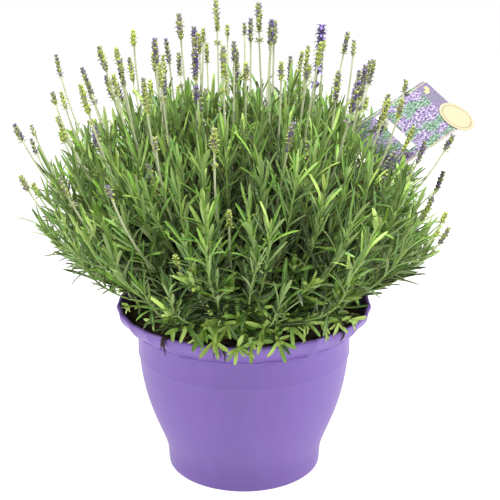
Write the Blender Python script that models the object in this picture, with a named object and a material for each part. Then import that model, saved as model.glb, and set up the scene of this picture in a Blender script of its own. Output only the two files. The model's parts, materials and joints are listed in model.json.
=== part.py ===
"""Potted lavender: a bushy lavender plant in a bell-shaped plastic pot, with a plant label.

Metres, +Z up. The origin is the middle of the pot's flat underside, and the front faces -Y.
The pot and the compost are turned shapes. The plant is a woody crown, leafy shoots that leave it
in rings of growing lean, and flower stalks with whorled spikes on the upright shoots.
Pieces that touch in the real plant keep a gap of GAP here.
"""

import math
from collections import namedtuple

import bmesh
import bpy
from mathutils import Matrix, Vector

GAP = 0.0003

# Pot: an outward flared rim band on a bell that narrows to a plain foot.
SEGMENTS = 40
WALL = 0.002
FLOOR = 0.003
FOOT_RADIUS = 0.0765
FOOT_TOP = (0.0775, 0.016)
BELL_PULL_LOW = (0.080, 0.038)
BELL_PULL_HIGH = (0.1005, 0.062)
BELL_TOP = (0.104, 0.119)
BELL_STEPS = 5
STEP_RISE = 0.0015
STEP_OUT = 0.0008
NECK_HEIGHT = 0.146
BAND_FOOT = (0.1095, 0.1485)
RIM = (0.125, 0.170)
DRAIN_HOLES = 6
DRAIN_RADIUS = 0.0045
DRAIN_CIRCLE = 0.048

# Compost: fills the pot to a hand's breadth of finger room under the rim, and domes to the crown.
SOIL_EDGE = 0.156
SOIL_TOP = 0.163
SOIL_FLAT = 0.030

# Woody crown: a stump in a pocket of the compost, with one branch stub under each shoot.
STUMP_RADIUS = 0.011
STUMP_DEPTH = 0.030
STUMP_SIDES = 12
CROWN_CENTRE = Vector((0.0, 0.0, 0.176))
CROWN_REACH = 0.045
STUB_START_RADIUS = 0.0042
STUB_END_RADIUS = 0.0022

# Shoots: square stems with leaves in crossed pairs.
STEM_START_RADIUS = 0.0017
STEM_END_RADIUS = 0.0011
FIRST_LEAF = 0.040
LEAF_SEAT = 0.004
LEAF_PAIR_SPACING = 0.0165
LEAF_WIDTH = 0.0056
LEAF_THICKNESS = 0.0011
LEAF_LONGEST = 0.042
LEAF_SHORTEST = 0.024
LEAF_OPENING = math.radians(46)
LEAF_CLOSING = math.radians(24)

# One ring of shoots. Leans are from the vertical, in degrees; radii and heights are of the tips.
Ring = namedtuple("Ring", "slots first_azimuth empty_slot base_lean tip_radius tip_height tip_lean flowers")
LABEL_AZIMUTH = 9.0
RINGS = (
    Ring(1, 0.0, None, 0.0, 0.002, 0.342, 0.0, (0,)),
    Ring(5, LABEL_AZIMUTH + 36.0, None, 26.0, 0.062, 0.328, 12.0, (0, 1, 2, 3, 4)),
    Ring(9, LABEL_AZIMUTH, 0, 48.0, 0.122, 0.292, 30.0, (1, 2, 4, 5, 7, 8)),
    Ring(7, LABEL_AZIMUTH + 13.0, None, 64.0, 0.176, 0.262, 40.0, ()),
    Ring(7, LABEL_AZIMUTH - 13.0, None, 80.0, 0.188, 0.205, 62.0, ()),
)
SWAY = 0.006

# Flowers: a thin stalk, then a spike of whorls with one whorl set apart below it.
STALK_RADIUS = 0.0011
STALK_SIDES = 6
STALK_LENGTH = 0.072
SPIKE_SIDES = 6
SPIKE_LENGTH = 0.043
SPIKE_TAIL = 0.010
SPIKE_WHORLS = 5
SPIKE_RADIUS = 0.0054
SPIKE_WAIST = 0.0036

# Label: a printed card with an oval badge on one corner, on a flat stake pushed into the compost.
CARD_SIZE = (0.065, 0.104)
CARD_THICKNESS = 0.0008
CARD_CORNER = 0.004
CARD_CENTRE = Vector((0.157, 0.030, 0.336))
CARD_LEAN_BACK = math.radians(42)
CARD_TURN = math.radians(-3)
CARD_SPIN = math.radians(-51)
BADGE_SIZE = (0.040, 0.024)
BADGE_SIDES = 28
BADGE_THICKNESS = 0.0006
BADGE_PLACE = (0.021, 0.046)
BADGE_SPIN = math.radians(5)
STAKE_WIDTH = 0.012
STAKE_THICKNESS = 0.0012
STAKE_FOOT = Vector((0.060, 0.010, 0.112))
STAKE_BEND_START = 0.172
STAKE_OVERLAP = 0.030
STAKE_STEPS = 8

# Finish of each piece: sRGB hex colour, roughness.
FINISHES = {
    "lilac_plastic": ("#9A82C8", 0.55),
    "peat_compost": ("#241C16", 0.95),
    "woody_stem": ("#6B5B43", 0.85),
    "lavender_leaf": ("#5F8F3A", 0.60),
    "flower_stalk": ("#77814F", 0.70),
    "flower_spike": ("#7F7A6A", 0.85),
    "printed_card": ("#A79BB5", 0.45),
    "cream_badge": ("#F2E3B5", 0.45),
    "white_stake": ("#E8E6DC", 0.50),
}


def linear(channel):
    """The linear value of one sRGB channel from 0 to 1."""
    return channel / 12.92 if channel <= 0.04045 else ((channel + 0.055) / 1.055) ** 2.4


def material(name):
    """The Principled material of one finish, made the first time it is asked for."""
    made = bpy.data.materials.get(name)
    if made:
        return made
    colour, roughness = FINISHES[name]
    channels = [linear(int(colour[i : i + 2], 16) / 255) for i in (1, 3, 5)]
    made = bpy.data.materials.new(name)
    made.use_nodes = True
    shader = made.node_tree.nodes["Principled BSDF"]
    shader.inputs["Base Color"].default_value = (*channels, 1.0)
    shader.inputs["Roughness"].default_value = roughness
    shader.inputs["Metallic"].default_value = 0.0
    made.diffuse_color = (*channels, 1.0)
    return made


def new_object(name, bm, finish, smooth=False):
    """Store a bmesh as an object in the scene."""
    mesh = bpy.data.meshes.new(name)
    bm.to_mesh(mesh)
    bm.free()
    if smooth:
        mesh.shade_smooth()
        mesh.set_sharp_from_angle(angle=math.radians(35))
    mesh.materials.append(material(finish))
    obj = bpy.data.objects.new(name, mesh)
    bpy.context.scene.collection.objects.link(obj)
    return obj


def new_cutter(name, bm):
    """An object that only shapes another one through a Boolean."""
    obj = new_object(name, bm, "lilac_plastic")
    obj.hide_render = True
    obj.display_type = "WIRE"
    return obj


def add_boolean(obj, operation, other):
    """Cut, or add, a cutter with Blender's exact solver."""
    modifier = obj.modifiers.new(f"{operation.lower()}_{other.name}", "BOOLEAN")
    modifier.operation = operation
    modifier.solver = "EXACT"
    modifier.use_self = True
    modifier.object = other


def bezier(start, pull_start, pull_end, end, t):
    """The point at t of a cubic curve, for pairs or vectors."""
    weights = ((1 - t) ** 3, 3 * t * (1 - t) ** 2, 3 * t * t * (1 - t), t**3)
    points = [Vector(p) for p in (start, pull_start, pull_end, end)]
    return sum((w * p for w, p in zip(weights, points)), Vector([0.0] * len(points[0])))


def direction(azimuth, lean):
    """The unit vector at an azimuth from +X and a lean from +Z, in degrees."""
    a, b = math.radians(azimuth), math.radians(lean)
    return Vector((math.cos(a) * math.sin(b), math.sin(a) * math.sin(b), math.cos(b)))


def ring_points(centre, across, up, radii, sides, turn=0.0):
    """Points around an ellipse that lies in the plane of two unit vectors."""
    angles = [turn + 2 * math.pi * i / sides for i in range(sides)]
    return [centre + across * (radii[0] * math.cos(a)) + up * (radii[1] * math.sin(a)) for a in angles]


def add_loft(bm, rings):
    """Skin rings of points into one closed body, and give back its side faces, ring by ring."""
    loops = [[bm.verts.new(point) for point in ring] for ring in rings]
    count = len(loops[0])
    bands = []
    for low, high in zip(loops, loops[1:]):
        around = [(i, (i + 1) % count) for i in range(count)]
        bands.append([bm.faces.new((low[i], low[j], high[j], high[i])) for i, j in around])
    bm.faces.new(reversed(loops[0]))
    end = bm.faces.new(loops[-1])
    return bands, end


def add_turned(bm, profile, sides):
    """Turn (radius, height) pairs about Z. A pair on the axis becomes one pole vertex."""
    loops = []
    for radius, height in profile:
        if radius == 0.0:
            loops.append([bm.verts.new((0.0, 0.0, height))] * sides)
            continue
        angles = [2 * math.pi * i / sides for i in range(sides)]
        loops.append([bm.verts.new((radius * math.cos(a), radius * math.sin(a), height)) for a in angles])
    for low, high in zip(loops, loops[1:]):
        for i in range(sides):
            j = (i + 1) % sides
            corners = dict.fromkeys((low[i], low[j], high[j], high[i]))
            bm.faces.new(tuple(corners))


def carried_frame(tangents, first_across):
    """An across vector at each tangent, carried along the path without spinning."""
    across, frame = first_across, []
    for tangent in tangents:
        across = (across - tangent * across.dot(tangent)).normalized()
        frame.append(across)
    return frame


def pot_outside():
    """The pot's outer profile from foot to rim."""
    bell = [
        tuple(bezier(FOOT_TOP, BELL_PULL_LOW, BELL_PULL_HIGH, BELL_TOP, i / BELL_STEPS))
        for i in range(BELL_STEPS + 1)
    ]
    shoulder = BELL_TOP[0] + STEP_OUT
    return [
        (FOOT_RADIUS, 0.0),
        *bell,
        (shoulder, BELL_TOP[1] + STEP_RISE),
        (shoulder, NECK_HEIGHT),
        BAND_FOOT,
        RIM,
    ]


def pot_inside(inset):
    """The outer profile moved in by an inset, from just over the floor to the rim."""
    inside = [(radius - inset, height) for radius, height in pot_outside()]
    inside[0] = (inside[0][0], FLOOR)
    return inside


def make_pot():
    """The pot shell with its ring of drain holes."""
    bm = bmesh.new()
    add_turned(bm, [(0.0, 0.0), *pot_outside(), *reversed(pot_inside(WALL)), (0.0, FLOOR)], SEGMENTS)
    pot = new_object("pot", bm, "lilac_plastic", smooth=True)
    holes = bmesh.new()
    for i in range(DRAIN_HOLES):
        place = direction(360 * i / DRAIN_HOLES, 90) * DRAIN_CIRCLE
        rings = [
            ring_points(place + Vector((0, 0, z)), Vector((1, 0, 0)), Vector((0, 1, 0)), (DRAIN_RADIUS,) * 2, 12)
            for z in (-FLOOR, 2 * FLOOR)
        ]
        add_loft(holes, rings)
    add_boolean(pot, "DIFFERENCE", new_cutter("drain_cutter", holes))
    return pot


def make_compost():
    """The compost: it follows the pot's inside, with a pocket for the stump and a slot for the stake."""
    wall = [(r, z) for r, z in pot_inside(WALL + GAP) if z < SOIL_EDGE]
    wall[0] = (wall[0][0], FLOOR + GAP)
    low, high = pot_inside(WALL + GAP)[-2:]
    share = (SOIL_EDGE - low[1]) / (high[1] - low[1])
    edge = (low[0] + share * (high[0] - low[0]), SOIL_EDGE)
    pocket = STUMP_RADIUS + GAP
    bm = bmesh.new()
    add_turned(
        bm,
        [
            (0.0, FLOOR + GAP),
            *wall,
            edge,
            ((edge[0] + SOIL_FLAT) / 2, (SOIL_EDGE + SOIL_TOP) / 2 + 0.001),
            (SOIL_FLAT, SOIL_TOP),
            (pocket, SOIL_TOP),
            (pocket, SOIL_TOP - STUMP_DEPTH - GAP),
            (0.0, SOIL_TOP - STUMP_DEPTH - GAP),
        ],
        SEGMENTS,
    )
    compost = new_object("compost", bm, "peat_compost", smooth=True)
    slot = bmesh.new()
    across = stake_across_at_foot()
    tops = (STAKE_FOOT.z - GAP, SOIL_TOP + 0.01)
    half = (STAKE_WIDTH / 2 + GAP, STAKE_THICKNESS / 2 + GAP)
    through = Vector((0, 0, 1)).cross(across)
    add_loft(slot, [box_section(STAKE_FOOT.xy.to_3d() + Vector((0, 0, z)), across, through, half) for z in tops])
    add_boolean(compost, "DIFFERENCE", new_cutter("stake_slot_cutter", slot))
    return compost


def box_section(centre, across, through, half):
    """The four corners of a flat bar's section."""
    signs = ((-1, -1), (1, -1), (1, 1), (-1, 1))
    return [centre + across * (half[0] * a) + through * (half[1] * b) for a, b in signs]


def shoot_places():
    """Each shoot's ring, azimuth and running number, inner rings first."""
    number, places = 0, []
    for ring in RINGS:
        for slot in range(ring.slots):
            if slot == ring.empty_slot:
                continue
            azimuth = ring.first_azimuth + 360.0 * slot / ring.slots
            places.append((ring, slot, azimuth, number))
            number += 1
    return places


def shoot_path(ring, azimuth, number):
    """The curve of a shoot, as four control points: out along its stub, then turning up to its tip."""
    start = CROWN_CENTRE + direction(azimuth, ring.base_lean) * (CROWN_REACH + GAP)
    sway = direction(azimuth + 90, 90) * (SWAY * math.sin(2.4 * number))
    tip = direction(azimuth, 90) * ring.tip_radius + Vector((0, 0, ring.tip_height)) + sway
    pull = (tip - start).length / 3
    return (
        start,
        start + direction(azimuth, ring.base_lean) * pull,
        tip - direction(azimuth, ring.tip_lean) * pull,
        tip,
    )


def make_crown():
    """The stump and its branch stubs, united into one body."""
    bm = bmesh.new()
    bottom = SOIL_TOP - STUMP_DEPTH
    top = CROWN_CENTRE.z
    add_turned(
        bm,
        [
            (0.0, bottom),
            (STUMP_RADIUS * 0.8, bottom),
            (STUMP_RADIUS, bottom + 0.006),
            (STUMP_RADIUS, SOIL_TOP + 0.002),
            (STUMP_RADIUS * 1.2, top - 0.003),
            (STUMP_RADIUS, top + 0.005),
            (STUMP_RADIUS * 0.5, top + 0.009),
            (0.0, top + 0.010),
        ],
        STUMP_SIDES,
    )
    crown = new_object("woody_crown", bm, "woody_stem", smooth=True)
    stubs = bmesh.new()
    for ring, _, azimuth, _ in shoot_places():
        out = direction(azimuth, ring.base_lean)
        across = direction(azimuth + 90, 90)
        rings = [
            ring_points(CROWN_CENTRE + out * reach, across, out.cross(across), (radius,) * 2, 5)
            for reach, radius in ((0.004, STUB_START_RADIUS), (CROWN_REACH, STUB_END_RADIUS))
        ]
        add_loft(stubs, rings)
    add_boolean(crown, "UNION", new_cutter("branch_stubs", stubs))
    return crown


def grow_leaf(bm, face, stem_direction, length):
    """Draw a leaf out of one side face of a stem: two widening and narrowing rings, then a point."""
    out = (face.normal - stem_direction * face.normal.dot(stem_direction)).normalized()
    across = stem_direction.cross(out)
    through = stem_direction
    centre = face.calc_center_median()
    for share, opening, width in ((0.32, LEAF_OPENING, 1.0), (0.36, (LEAF_OPENING + LEAF_CLOSING) / 2, 0.9)):
        along = stem_direction * math.cos(opening) + out * math.sin(opening)
        face = bmesh.ops.extrude_discrete_faces(bm, faces=[face])["faces"][0]
        middle = face.calc_center_median()
        sides = [math.copysign(LEAF_WIDTH / 2, (v.co - middle).dot(across)) for v in face.verts]
        levels = [math.copysign(LEAF_THICKNESS / 2, (v.co - middle).dot(through)) for v in face.verts]
        through = along.cross(across)
        centre = centre + along * (length * share)
        for vert, side, level in zip(face.verts, sides, levels):
            vert.co = centre + across * (side * width) + through * level
    tip = bmesh.ops.poke(bm, faces=[face])["verts"][0]
    along = stem_direction * math.cos(LEAF_CLOSING) + out * math.sin(LEAF_CLOSING)
    tip.co = centre + along * (length * 0.32)


def make_shoot(name, path, number):
    """A leafy shoot: a square stem with crossed pairs of leaves, the longest in its middle."""
    length = (path[3] - path[0]).length
    pairs = max(2, int((length - FIRST_LEAF) / LEAF_PAIR_SPACING) + 1)
    seats = [length - LEAF_SEAT - 0.002 - i * LEAF_PAIR_SPACING for i in reversed(range(pairs))]
    stations = sorted([0.0, length] + [s for seat in seats for s in (seat, seat + LEAF_SEAT)])
    points = [bezier(*path, s / length) for s in stations]
    tangents = [(bezier(*path, s / length + 0.01) - bezier(*path, s / length - 0.01)).normalized() for s in stations]
    sideways = Vector((0, 0, 1)).cross(direction(number * 137.5, 90))
    across = carried_frame(tangents, sideways)
    rings = []
    for station, point, tangent, side in zip(stations, points, tangents, across):
        radius = STEM_START_RADIUS + (STEM_END_RADIUS - STEM_START_RADIUS) * station / length
        rings.append(ring_points(point, side, tangent.cross(side), (radius,) * 2, 4))
    bm = bmesh.new()
    bands, _ = add_loft(bm, rings)
    bm.normal_update()
    for index, seat in enumerate(seats):
        band = bands[stations.index(seat)]
        tangent = tangents[stations.index(seat)]
        share = index / max(1, pairs - 1)
        leaf = LEAF_SHORTEST + (LEAF_LONGEST - LEAF_SHORTEST) * math.sin(math.pi * (0.12 + 0.62 * share))
        first = index % 2
        grow_leaf(bm, band[first], tangent, leaf)
        grow_leaf(bm, band[first + 2], tangent, leaf)
    return new_object(name, bm, "lavender_leaf")


def make_flower(number, ring, azimuth, tip):
    """A stalk that goes on from a shoot's tip, and the spike on it."""
    out = direction(azimuth, ring.tip_lean)
    across = direction(azimuth + 90, 90)
    up = out.cross(across)
    start = tip + out * GAP
    bend = direction(azimuth, max(0.0, ring.tip_lean - 10))
    end = start + (out + bend).normalized() * STALK_LENGTH
    curve = (start, start + out * STALK_LENGTH / 3, end - bend * STALK_LENGTH / 3, end)
    stalk = bmesh.new()
    add_loft(
        stalk,
        [ring_points(bezier(*curve, t), across, up, (STALK_RADIUS,) * 2, STALK_SIDES) for t in (0, 0.25, 0.5, 0.75, 1)],
    )
    new_object(f"flower_stalk_{number:02}", stalk, "flower_stalk", smooth=True)
    spike = bmesh.new()
    sections = [(0.0, STALK_RADIUS), (0.002, SPIKE_WAIST * 0.9), (0.006, SPIKE_WAIST), (0.008, STALK_RADIUS)]
    sections.append((SPIKE_TAIL + 0.002, STALK_RADIUS * 1.1))
    pitch = (SPIKE_LENGTH - SPIKE_TAIL - 0.003) / SPIKE_WHORLS
    for whorl in range(SPIKE_WHORLS):
        fullness = 1.0 - 0.10 * abs(whorl - 1.5)
        low = SPIKE_TAIL + 0.003 + whorl * pitch
        sections.append((low + 0.55 * pitch, SPIKE_RADIUS * fullness))
        sections.append((low + 0.98 * pitch, SPIKE_WAIST * fullness))
    sections.append((SPIKE_LENGTH, STALK_RADIUS * 0.6))
    upward = bend.cross(across)
    foot = end + bend * GAP
    add_loft(
        spike,
        [ring_points(foot + bend * s, across, upward, (r, r), SPIKE_SIDES, 0.5 * s / pitch) for s, r in sections],
    )
    new_object(f"flower_spike_{number:02}", spike, "flower_spike", smooth=True)


def make_plant():
    """Every shoot, and a flower on those that carry one."""
    flowers = 0
    for ring, slot, azimuth, number in shoot_places():
        path = shoot_path(ring, azimuth, number)
        make_shoot(f"leafy_shoot_{number + 1:02}", path, number)
        if slot in ring.flowers:
            flowers += 1
            make_flower(flowers, ring, azimuth, path[3])


def rounded_outline(size, corner, steps=3):
    """The corner points of a rectangle with round corners, centred on the origin."""
    points = []
    for turn, (sx, sy) in enumerate(((1, 1), (-1, 1), (-1, -1), (1, -1))):
        centre = (sx * (size[0] / 2 - corner), sy * (size[1] / 2 - corner))
        for step in range(steps + 1):
            angle = math.pi / 2 * (turn + step / steps)
            points.append((centre[0] + corner * math.cos(angle), centre[1] + corner * math.sin(angle)))
    return points


def plate(outline, bottom, thickness):
    """A flat plate of an outline, as a bmesh."""
    bm = bmesh.new()
    add_loft(bm, [[Vector((x, y, z)) for x, y in outline] for z in (bottom, bottom + thickness)])
    return bm


def card_axes():
    """The card's own directions in the world: across, along and out of its printed face."""
    turn = Matrix.Rotation(CARD_TURN, 3, "Z") @ Matrix.Rotation(CARD_LEAN_BACK, 3, "X")
    spun = turn @ Matrix.Rotation(CARD_SPIN, 3, "Z")
    return spun.col[0].copy(), spun.col[1].copy(), spun.col[2].copy()


def stake_across_at_foot():
    """The stake's width direction in the compost: the card's across direction, laid level."""
    across, _, _ = card_axes()
    return Vector((across.x, across.y, 0.0)).normalized()


def make_label():
    """The card, its badge and its stake. The card and the badge hang on one tilted empty."""
    holder = bpy.data.objects.new("label_tilt", None)
    holder.location = CARD_CENTRE
    holder.rotation_euler = (CARD_LEAN_BACK, 0.0, CARD_TURN)
    bpy.context.scene.collection.objects.link(holder)

    card = new_object("label_card", plate(rounded_outline(CARD_SIZE, CARD_CORNER), 0.0, CARD_THICKNESS), "printed_card")
    card.parent = holder
    card.rotation_euler = (0.0, 0.0, CARD_SPIN)

    level = (Vector((0, 0, 0)), Vector((1, 0, 0)), Vector((0, 1, 0)))
    oval = [(p.x, p.y) for p in ring_points(*level, (BADGE_SIZE[0] / 2, BADGE_SIZE[1] / 2), BADGE_SIDES)]
    badge = new_object("label_badge", plate(oval, 0.0, BADGE_THICKNESS), "cream_badge")
    badge.parent = card
    badge.location = (*BADGE_PLACE, CARD_THICKNESS + GAP)
    badge.rotation_euler = (0.0, 0.0, BADGE_SPIN)
    make_stake()


def make_stake():
    """A flat strip: upright in the compost, then one smooth bend up to the back of the card."""
    across, along, out = card_axes()
    back = CARD_CENTRE - out * (GAP + STAKE_THICKNESS / 2)
    card_foot = back - along * (CARD_SIZE[1] / 2)
    bend_start = Vector((STAKE_FOOT.x, STAKE_FOOT.y, STAKE_BEND_START))
    pull = (card_foot - bend_start).length * 0.45
    curve = (bend_start, bend_start + Vector((0, 0, pull)), card_foot - along * pull, card_foot)
    bend = [bezier(*curve, i / STAKE_STEPS) for i in range(STAKE_STEPS + 1)]
    points = [STAKE_FOOT, *bend, card_foot + along * STAKE_OVERLAP]
    ahead, behind = [*points[1:], points[-1]], [points[0], *points[:-1]]
    tangents = [(b - a).normalized() for a, b in zip(behind, ahead)]
    tangents[-2] = tangents[-1]
    widths = [stake_across_at_foot().lerp(across, min(1.0, max(0, i - 1) / STAKE_STEPS)) for i in range(len(points))]
    strip, rings = bmesh.new(), []
    for point, tangent, width in zip(points, tangents, widths):
        width = (width - tangent * width.dot(tangent)).normalized()
        rings.append(box_section(point, width, tangent.cross(width), (STAKE_WIDTH / 2, STAKE_THICKNESS / 2)))
    add_loft(strip, rings)
    new_object("label_stake", strip, "white_stake")


def main():
    """Clear the scene and build the pot, the compost, the plant and the label."""
    for obj in list(bpy.data.objects):
        bpy.data.objects.remove(obj, do_unlink=True)
    make_pot()
    make_compost()
    make_crown()
    make_plant()
    make_label()


main()
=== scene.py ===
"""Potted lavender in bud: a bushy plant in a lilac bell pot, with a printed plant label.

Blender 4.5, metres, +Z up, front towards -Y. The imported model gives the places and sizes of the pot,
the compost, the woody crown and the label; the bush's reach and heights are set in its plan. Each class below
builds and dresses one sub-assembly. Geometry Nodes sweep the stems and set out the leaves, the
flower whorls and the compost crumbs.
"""

from __future__ import annotations

import json
import logging
import random
from dataclasses import dataclass, field
from enum import Enum
from math import atan2, ceil, copysign, cos, degrees, hypot, pi, radians, sin, sqrt, tau
from typing import Any, Callable, Iterable, Sequence

import bmesh
import bpy
import numpy as np
from bmesh.types import BMesh, BMVert
from bpy.types import Collection, Material, Mesh, Node, NodeSocket, NodeTree, Object
from mathutils import Matrix, Vector

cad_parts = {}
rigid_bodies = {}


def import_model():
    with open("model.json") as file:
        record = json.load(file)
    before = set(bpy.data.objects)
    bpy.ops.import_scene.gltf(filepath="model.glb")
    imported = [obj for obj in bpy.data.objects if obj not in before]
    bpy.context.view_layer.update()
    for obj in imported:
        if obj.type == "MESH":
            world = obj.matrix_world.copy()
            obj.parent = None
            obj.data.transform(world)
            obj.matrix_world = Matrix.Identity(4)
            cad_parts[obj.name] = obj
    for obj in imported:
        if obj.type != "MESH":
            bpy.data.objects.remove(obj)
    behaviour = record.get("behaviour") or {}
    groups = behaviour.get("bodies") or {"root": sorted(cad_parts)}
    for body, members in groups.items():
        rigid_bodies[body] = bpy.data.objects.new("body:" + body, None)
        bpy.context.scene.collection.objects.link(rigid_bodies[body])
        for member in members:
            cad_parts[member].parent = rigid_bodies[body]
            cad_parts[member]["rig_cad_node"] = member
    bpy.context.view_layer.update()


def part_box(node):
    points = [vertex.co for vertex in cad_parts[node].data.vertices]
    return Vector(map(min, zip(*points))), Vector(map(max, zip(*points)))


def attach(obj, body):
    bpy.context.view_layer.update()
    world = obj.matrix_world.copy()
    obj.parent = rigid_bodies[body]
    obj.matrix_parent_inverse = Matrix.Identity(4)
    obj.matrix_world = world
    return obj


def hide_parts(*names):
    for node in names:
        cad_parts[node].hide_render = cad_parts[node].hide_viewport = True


LOG = logging.getLogger("potted_lavender")
MM = 0.001
GOLDEN_TURN = pi * (3.0 - sqrt(5.0))
BAKE_MAP = "OFBake"
BODY = "root"

# The kinds of node that come up most, and their usual settings.
ATTRIBUTE, SPLIT, PLACE = "ShaderNodeAttribute", "ShaderNodeSeparateXYZ", "ShaderNodeTexCoord"
MATH, MIX, MAP_RANGE = "ShaderNodeMath", "ShaderNodeMix", "ShaderNodeMapRange"
NOISE, RAMP, BUMP = "ShaderNodeTexNoise", "ShaderNodeValToRGB", "ShaderNodeBump"
HUE, WHITE_NOISE = "ShaderNodeHueSaturation", "ShaderNodeTexWhiteNoise"
STORE, NAMED = "GeometryNodeStoreNamedAttribute", "GeometryNodeInputNamedAttribute"
ADD, MULTIPLY, MULTIPLY_ADD, DIVIDE, COMPARE = (
    {"operation": name} for name in ("ADD", "MULTIPLY", "MULTIPLY_ADD", "DIVIDE", "COMPARE")
)
NUMBERS, COLOURS = {"data_type": "FLOAT"}, {"data_type": "RGBA"}
SMOOTHLY = {"interpolation_type": "SMOOTHSTEP"}


# ---- Small tools ----


def linear(code: str, alpha: float = 1.0) -> tuple[float, float, float, float]:
    """Turn an sRGB hex colour into linear RGBA.

    Args:
        code: The colour as "#RRGGBB".
        alpha: The fourth channel.

    Returns:
        Linear red, green, blue and the alpha.
    """
    channels = [int(code[i : i + 2], 16) / 255 for i in (1, 3, 5)]
    red, green, blue = (c / 12.92 if c <= 0.04045 else ((c + 0.055) / 1.055) ** 2.4 for c in channels)
    return red, green, blue, alpha


def add_node(
    tree: NodeTree,
    kind: str,
    settings: dict | None = None,
    links: dict | None = None,
    stops: Sequence[tuple[float, str]] = (),
) -> Any:
    """Add a node with its settings, its inputs and its colour stops.

    Args:
        tree: The shader or geometry tree.
        kind: The node's type name.
        settings: Attribute names and their values.
        links: Input names or numbers, each with a value, the socket that feeds it, or the node whose
            first output does.
        stops: For a node with a colour ramp, positions from 0 to 1, each with an sRGB hex colour.

    Returns:
        The new node.
    """
    node = tree.nodes.new(kind)
    for name, value in (settings or {}).items():
        setattr(node, name, value)
    for key, value in (links or {}).items():
        if isinstance(value, Node):
            value = next(socket for socket in value.outputs if socket.enabled)
        if isinstance(value, NodeSocket):
            tree.links.new(value, node.inputs[key])
        else:
            node.inputs[key].default_value = value
    for number, (place, code) in enumerate(stops):
        elements = node.color_ramp.elements
        element = elements[number] if number < 2 else elements.new(place)
        element.position = place
        element.color = linear(code)
    return node


def heading(azimuth: float, lean: float) -> Vector:
    """The unit vector at an azimuth from +X and a lean from +Z, in radians."""
    return Vector((cos(azimuth) * sin(lean), sin(azimuth) * sin(lean), cos(lean)))


def polar(radius: float, azimuth: float, level: float = 0.0) -> Vector:
    """The place at a radius, at an azimuth from +X in radians, and at a level."""
    return Vector((radius * cos(azimuth), radius * sin(azimuth), level))


def bezier(control: Sequence[Vector], t: float) -> Vector:
    """The point at t on a cubic curve with four control points."""
    a, b, c, d = control
    return a * (1 - t) ** 3 + b * (3 * t * (1 - t) ** 2) + c * (3 * t * t * (1 - t)) + d * t**3


def bezier_heading(control: Sequence[Vector], t: float) -> Vector:
    """The unit tangent at t on a cubic curve with four control points."""
    a, b, c, d = control
    return ((b - a) * (1 - t) ** 2 + (c - b) * (2 * t * (1 - t)) + (d - c) * t * t).normalized()


def smoothstep(low: float, high: float, value: float) -> float:
    """Rise smoothly from 0 at low to 1 at high."""
    share = min(1.0, max(0.0, (value - low) / (high - low)))
    return share * share * (3 - 2 * share)


def new_object(name: str, mesh: Mesh) -> Object:
    """Put a mesh in the scene as an object at the origin.

    Args:
        name: The object's name.
        mesh: The mesh.

    Returns:
        The object.
    """
    obj = bpy.data.objects.new(name, mesh)
    bpy.context.scene.collection.objects.link(obj)
    return obj


def evaluated_mesh(obj: Object) -> Mesh:
    """Make a plain mesh of an object with its modifiers applied.

    Args:
        obj: The object.

    Returns:
        The new mesh.
    """
    bpy.context.view_layer.update()
    graph = bpy.context.evaluated_depsgraph_get()
    return bpy.data.meshes.new_from_object(obj.evaluated_get(graph), depsgraph=graph)


def drop(obj: Object) -> None:
    """Remove an object with its mesh.

    Args:
        obj: The object.
    """
    mesh = obj.data
    bpy.data.objects.remove(obj)
    bpy.data.meshes.remove(mesh)


def loft(bm: BMesh, rings: Sequence[Sequence[BMVert]]) -> None:
    """Join rings of vertices with quads, and close the first and the last ring.

    Args:
        bm: The bmesh that takes the faces.
        rings: The rings, each with as many vertices.
    """
    count = len(rings[0])
    for lower, upper in zip(rings, rings[1:]):
        for i in range(count):
            j = (i + 1) % count
            bm.faces.new((lower[i], lower[j], upper[j], upper[i]))
    bm.faces.new(list(reversed(rings[0])))
    bm.faces.new(rings[-1])


def shade(mesh: Mesh, sharp_angle: float) -> None:
    """Shade a mesh smooth, with creases over an angle in degrees."""
    mesh.shade_smooth()
    mesh.set_sharp_from_angle(angle=radians(sharp_angle))


def mesh_from(
    name: str,
    points: Sequence[Vector],
    faces: Sequence[Sequence[int]],
    corner_map: Sequence[Sequence[tuple[float, float]]] | None = None,
    map_name: str = BAKE_MAP,
    sharp_angle: float = 40.0,
) -> Mesh:
    """Build a mesh, with a UV map where each face gives one pair per corner.

    Args:
        name: The mesh's name.
        points: Vertex places.
        faces: Vertex numbers of each face.
        corner_map: For each face, the map's pair at each corner.
        map_name: The map's name.
        sharp_angle: Edges sharper than this, in degrees, stay creased.

    Returns:
        The mesh.
    """
    mesh = bpy.data.meshes.new(name)
    mesh.from_pydata([tuple(p) for p in points], [], [tuple(f) for f in faces])
    if corner_map is not None:
        layer = mesh.uv_layers.new(name=map_name)
        flat = [value for face in corner_map for pair in face for value in pair]
        layer.data.foreach_set("uv", flat)
    shade(mesh, sharp_angle)
    mesh.validate()
    return mesh


def mesh_of_bmesh(name: str, bm: BMesh, sharp_angle: float = 40.0) -> Mesh:
    """Store a bmesh as a smooth mesh and free it.

    Args:
        name: The mesh's name.
        bm: The bmesh.
        sharp_angle: Edges sharper than this, in degrees, stay creased.

    Returns:
        The mesh.
    """
    mesh = bpy.data.meshes.new(name)
    bm.to_mesh(mesh)
    bm.free()
    shade(mesh, sharp_angle)
    return mesh


def dress(obj: Object, material: Material) -> None:
    """Give an object one material in place of any it has."""
    obj.data.materials.clear()
    obj.data.materials.append(material)


def sector_of(place: Vector, sectors: int) -> int:
    """The number of the sector round the middle that a place lies in."""
    return int((atan2(place.y, place.x) % tau) / tau * sectors) % sectors


def nodes_named(prefix: str) -> list[str]:
    """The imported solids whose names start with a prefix, in order."""
    names = (str(obj.get("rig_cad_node", "")) for obj in bpy.data.objects)
    return sorted(name for name in names if name.startswith(prefix))


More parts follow.
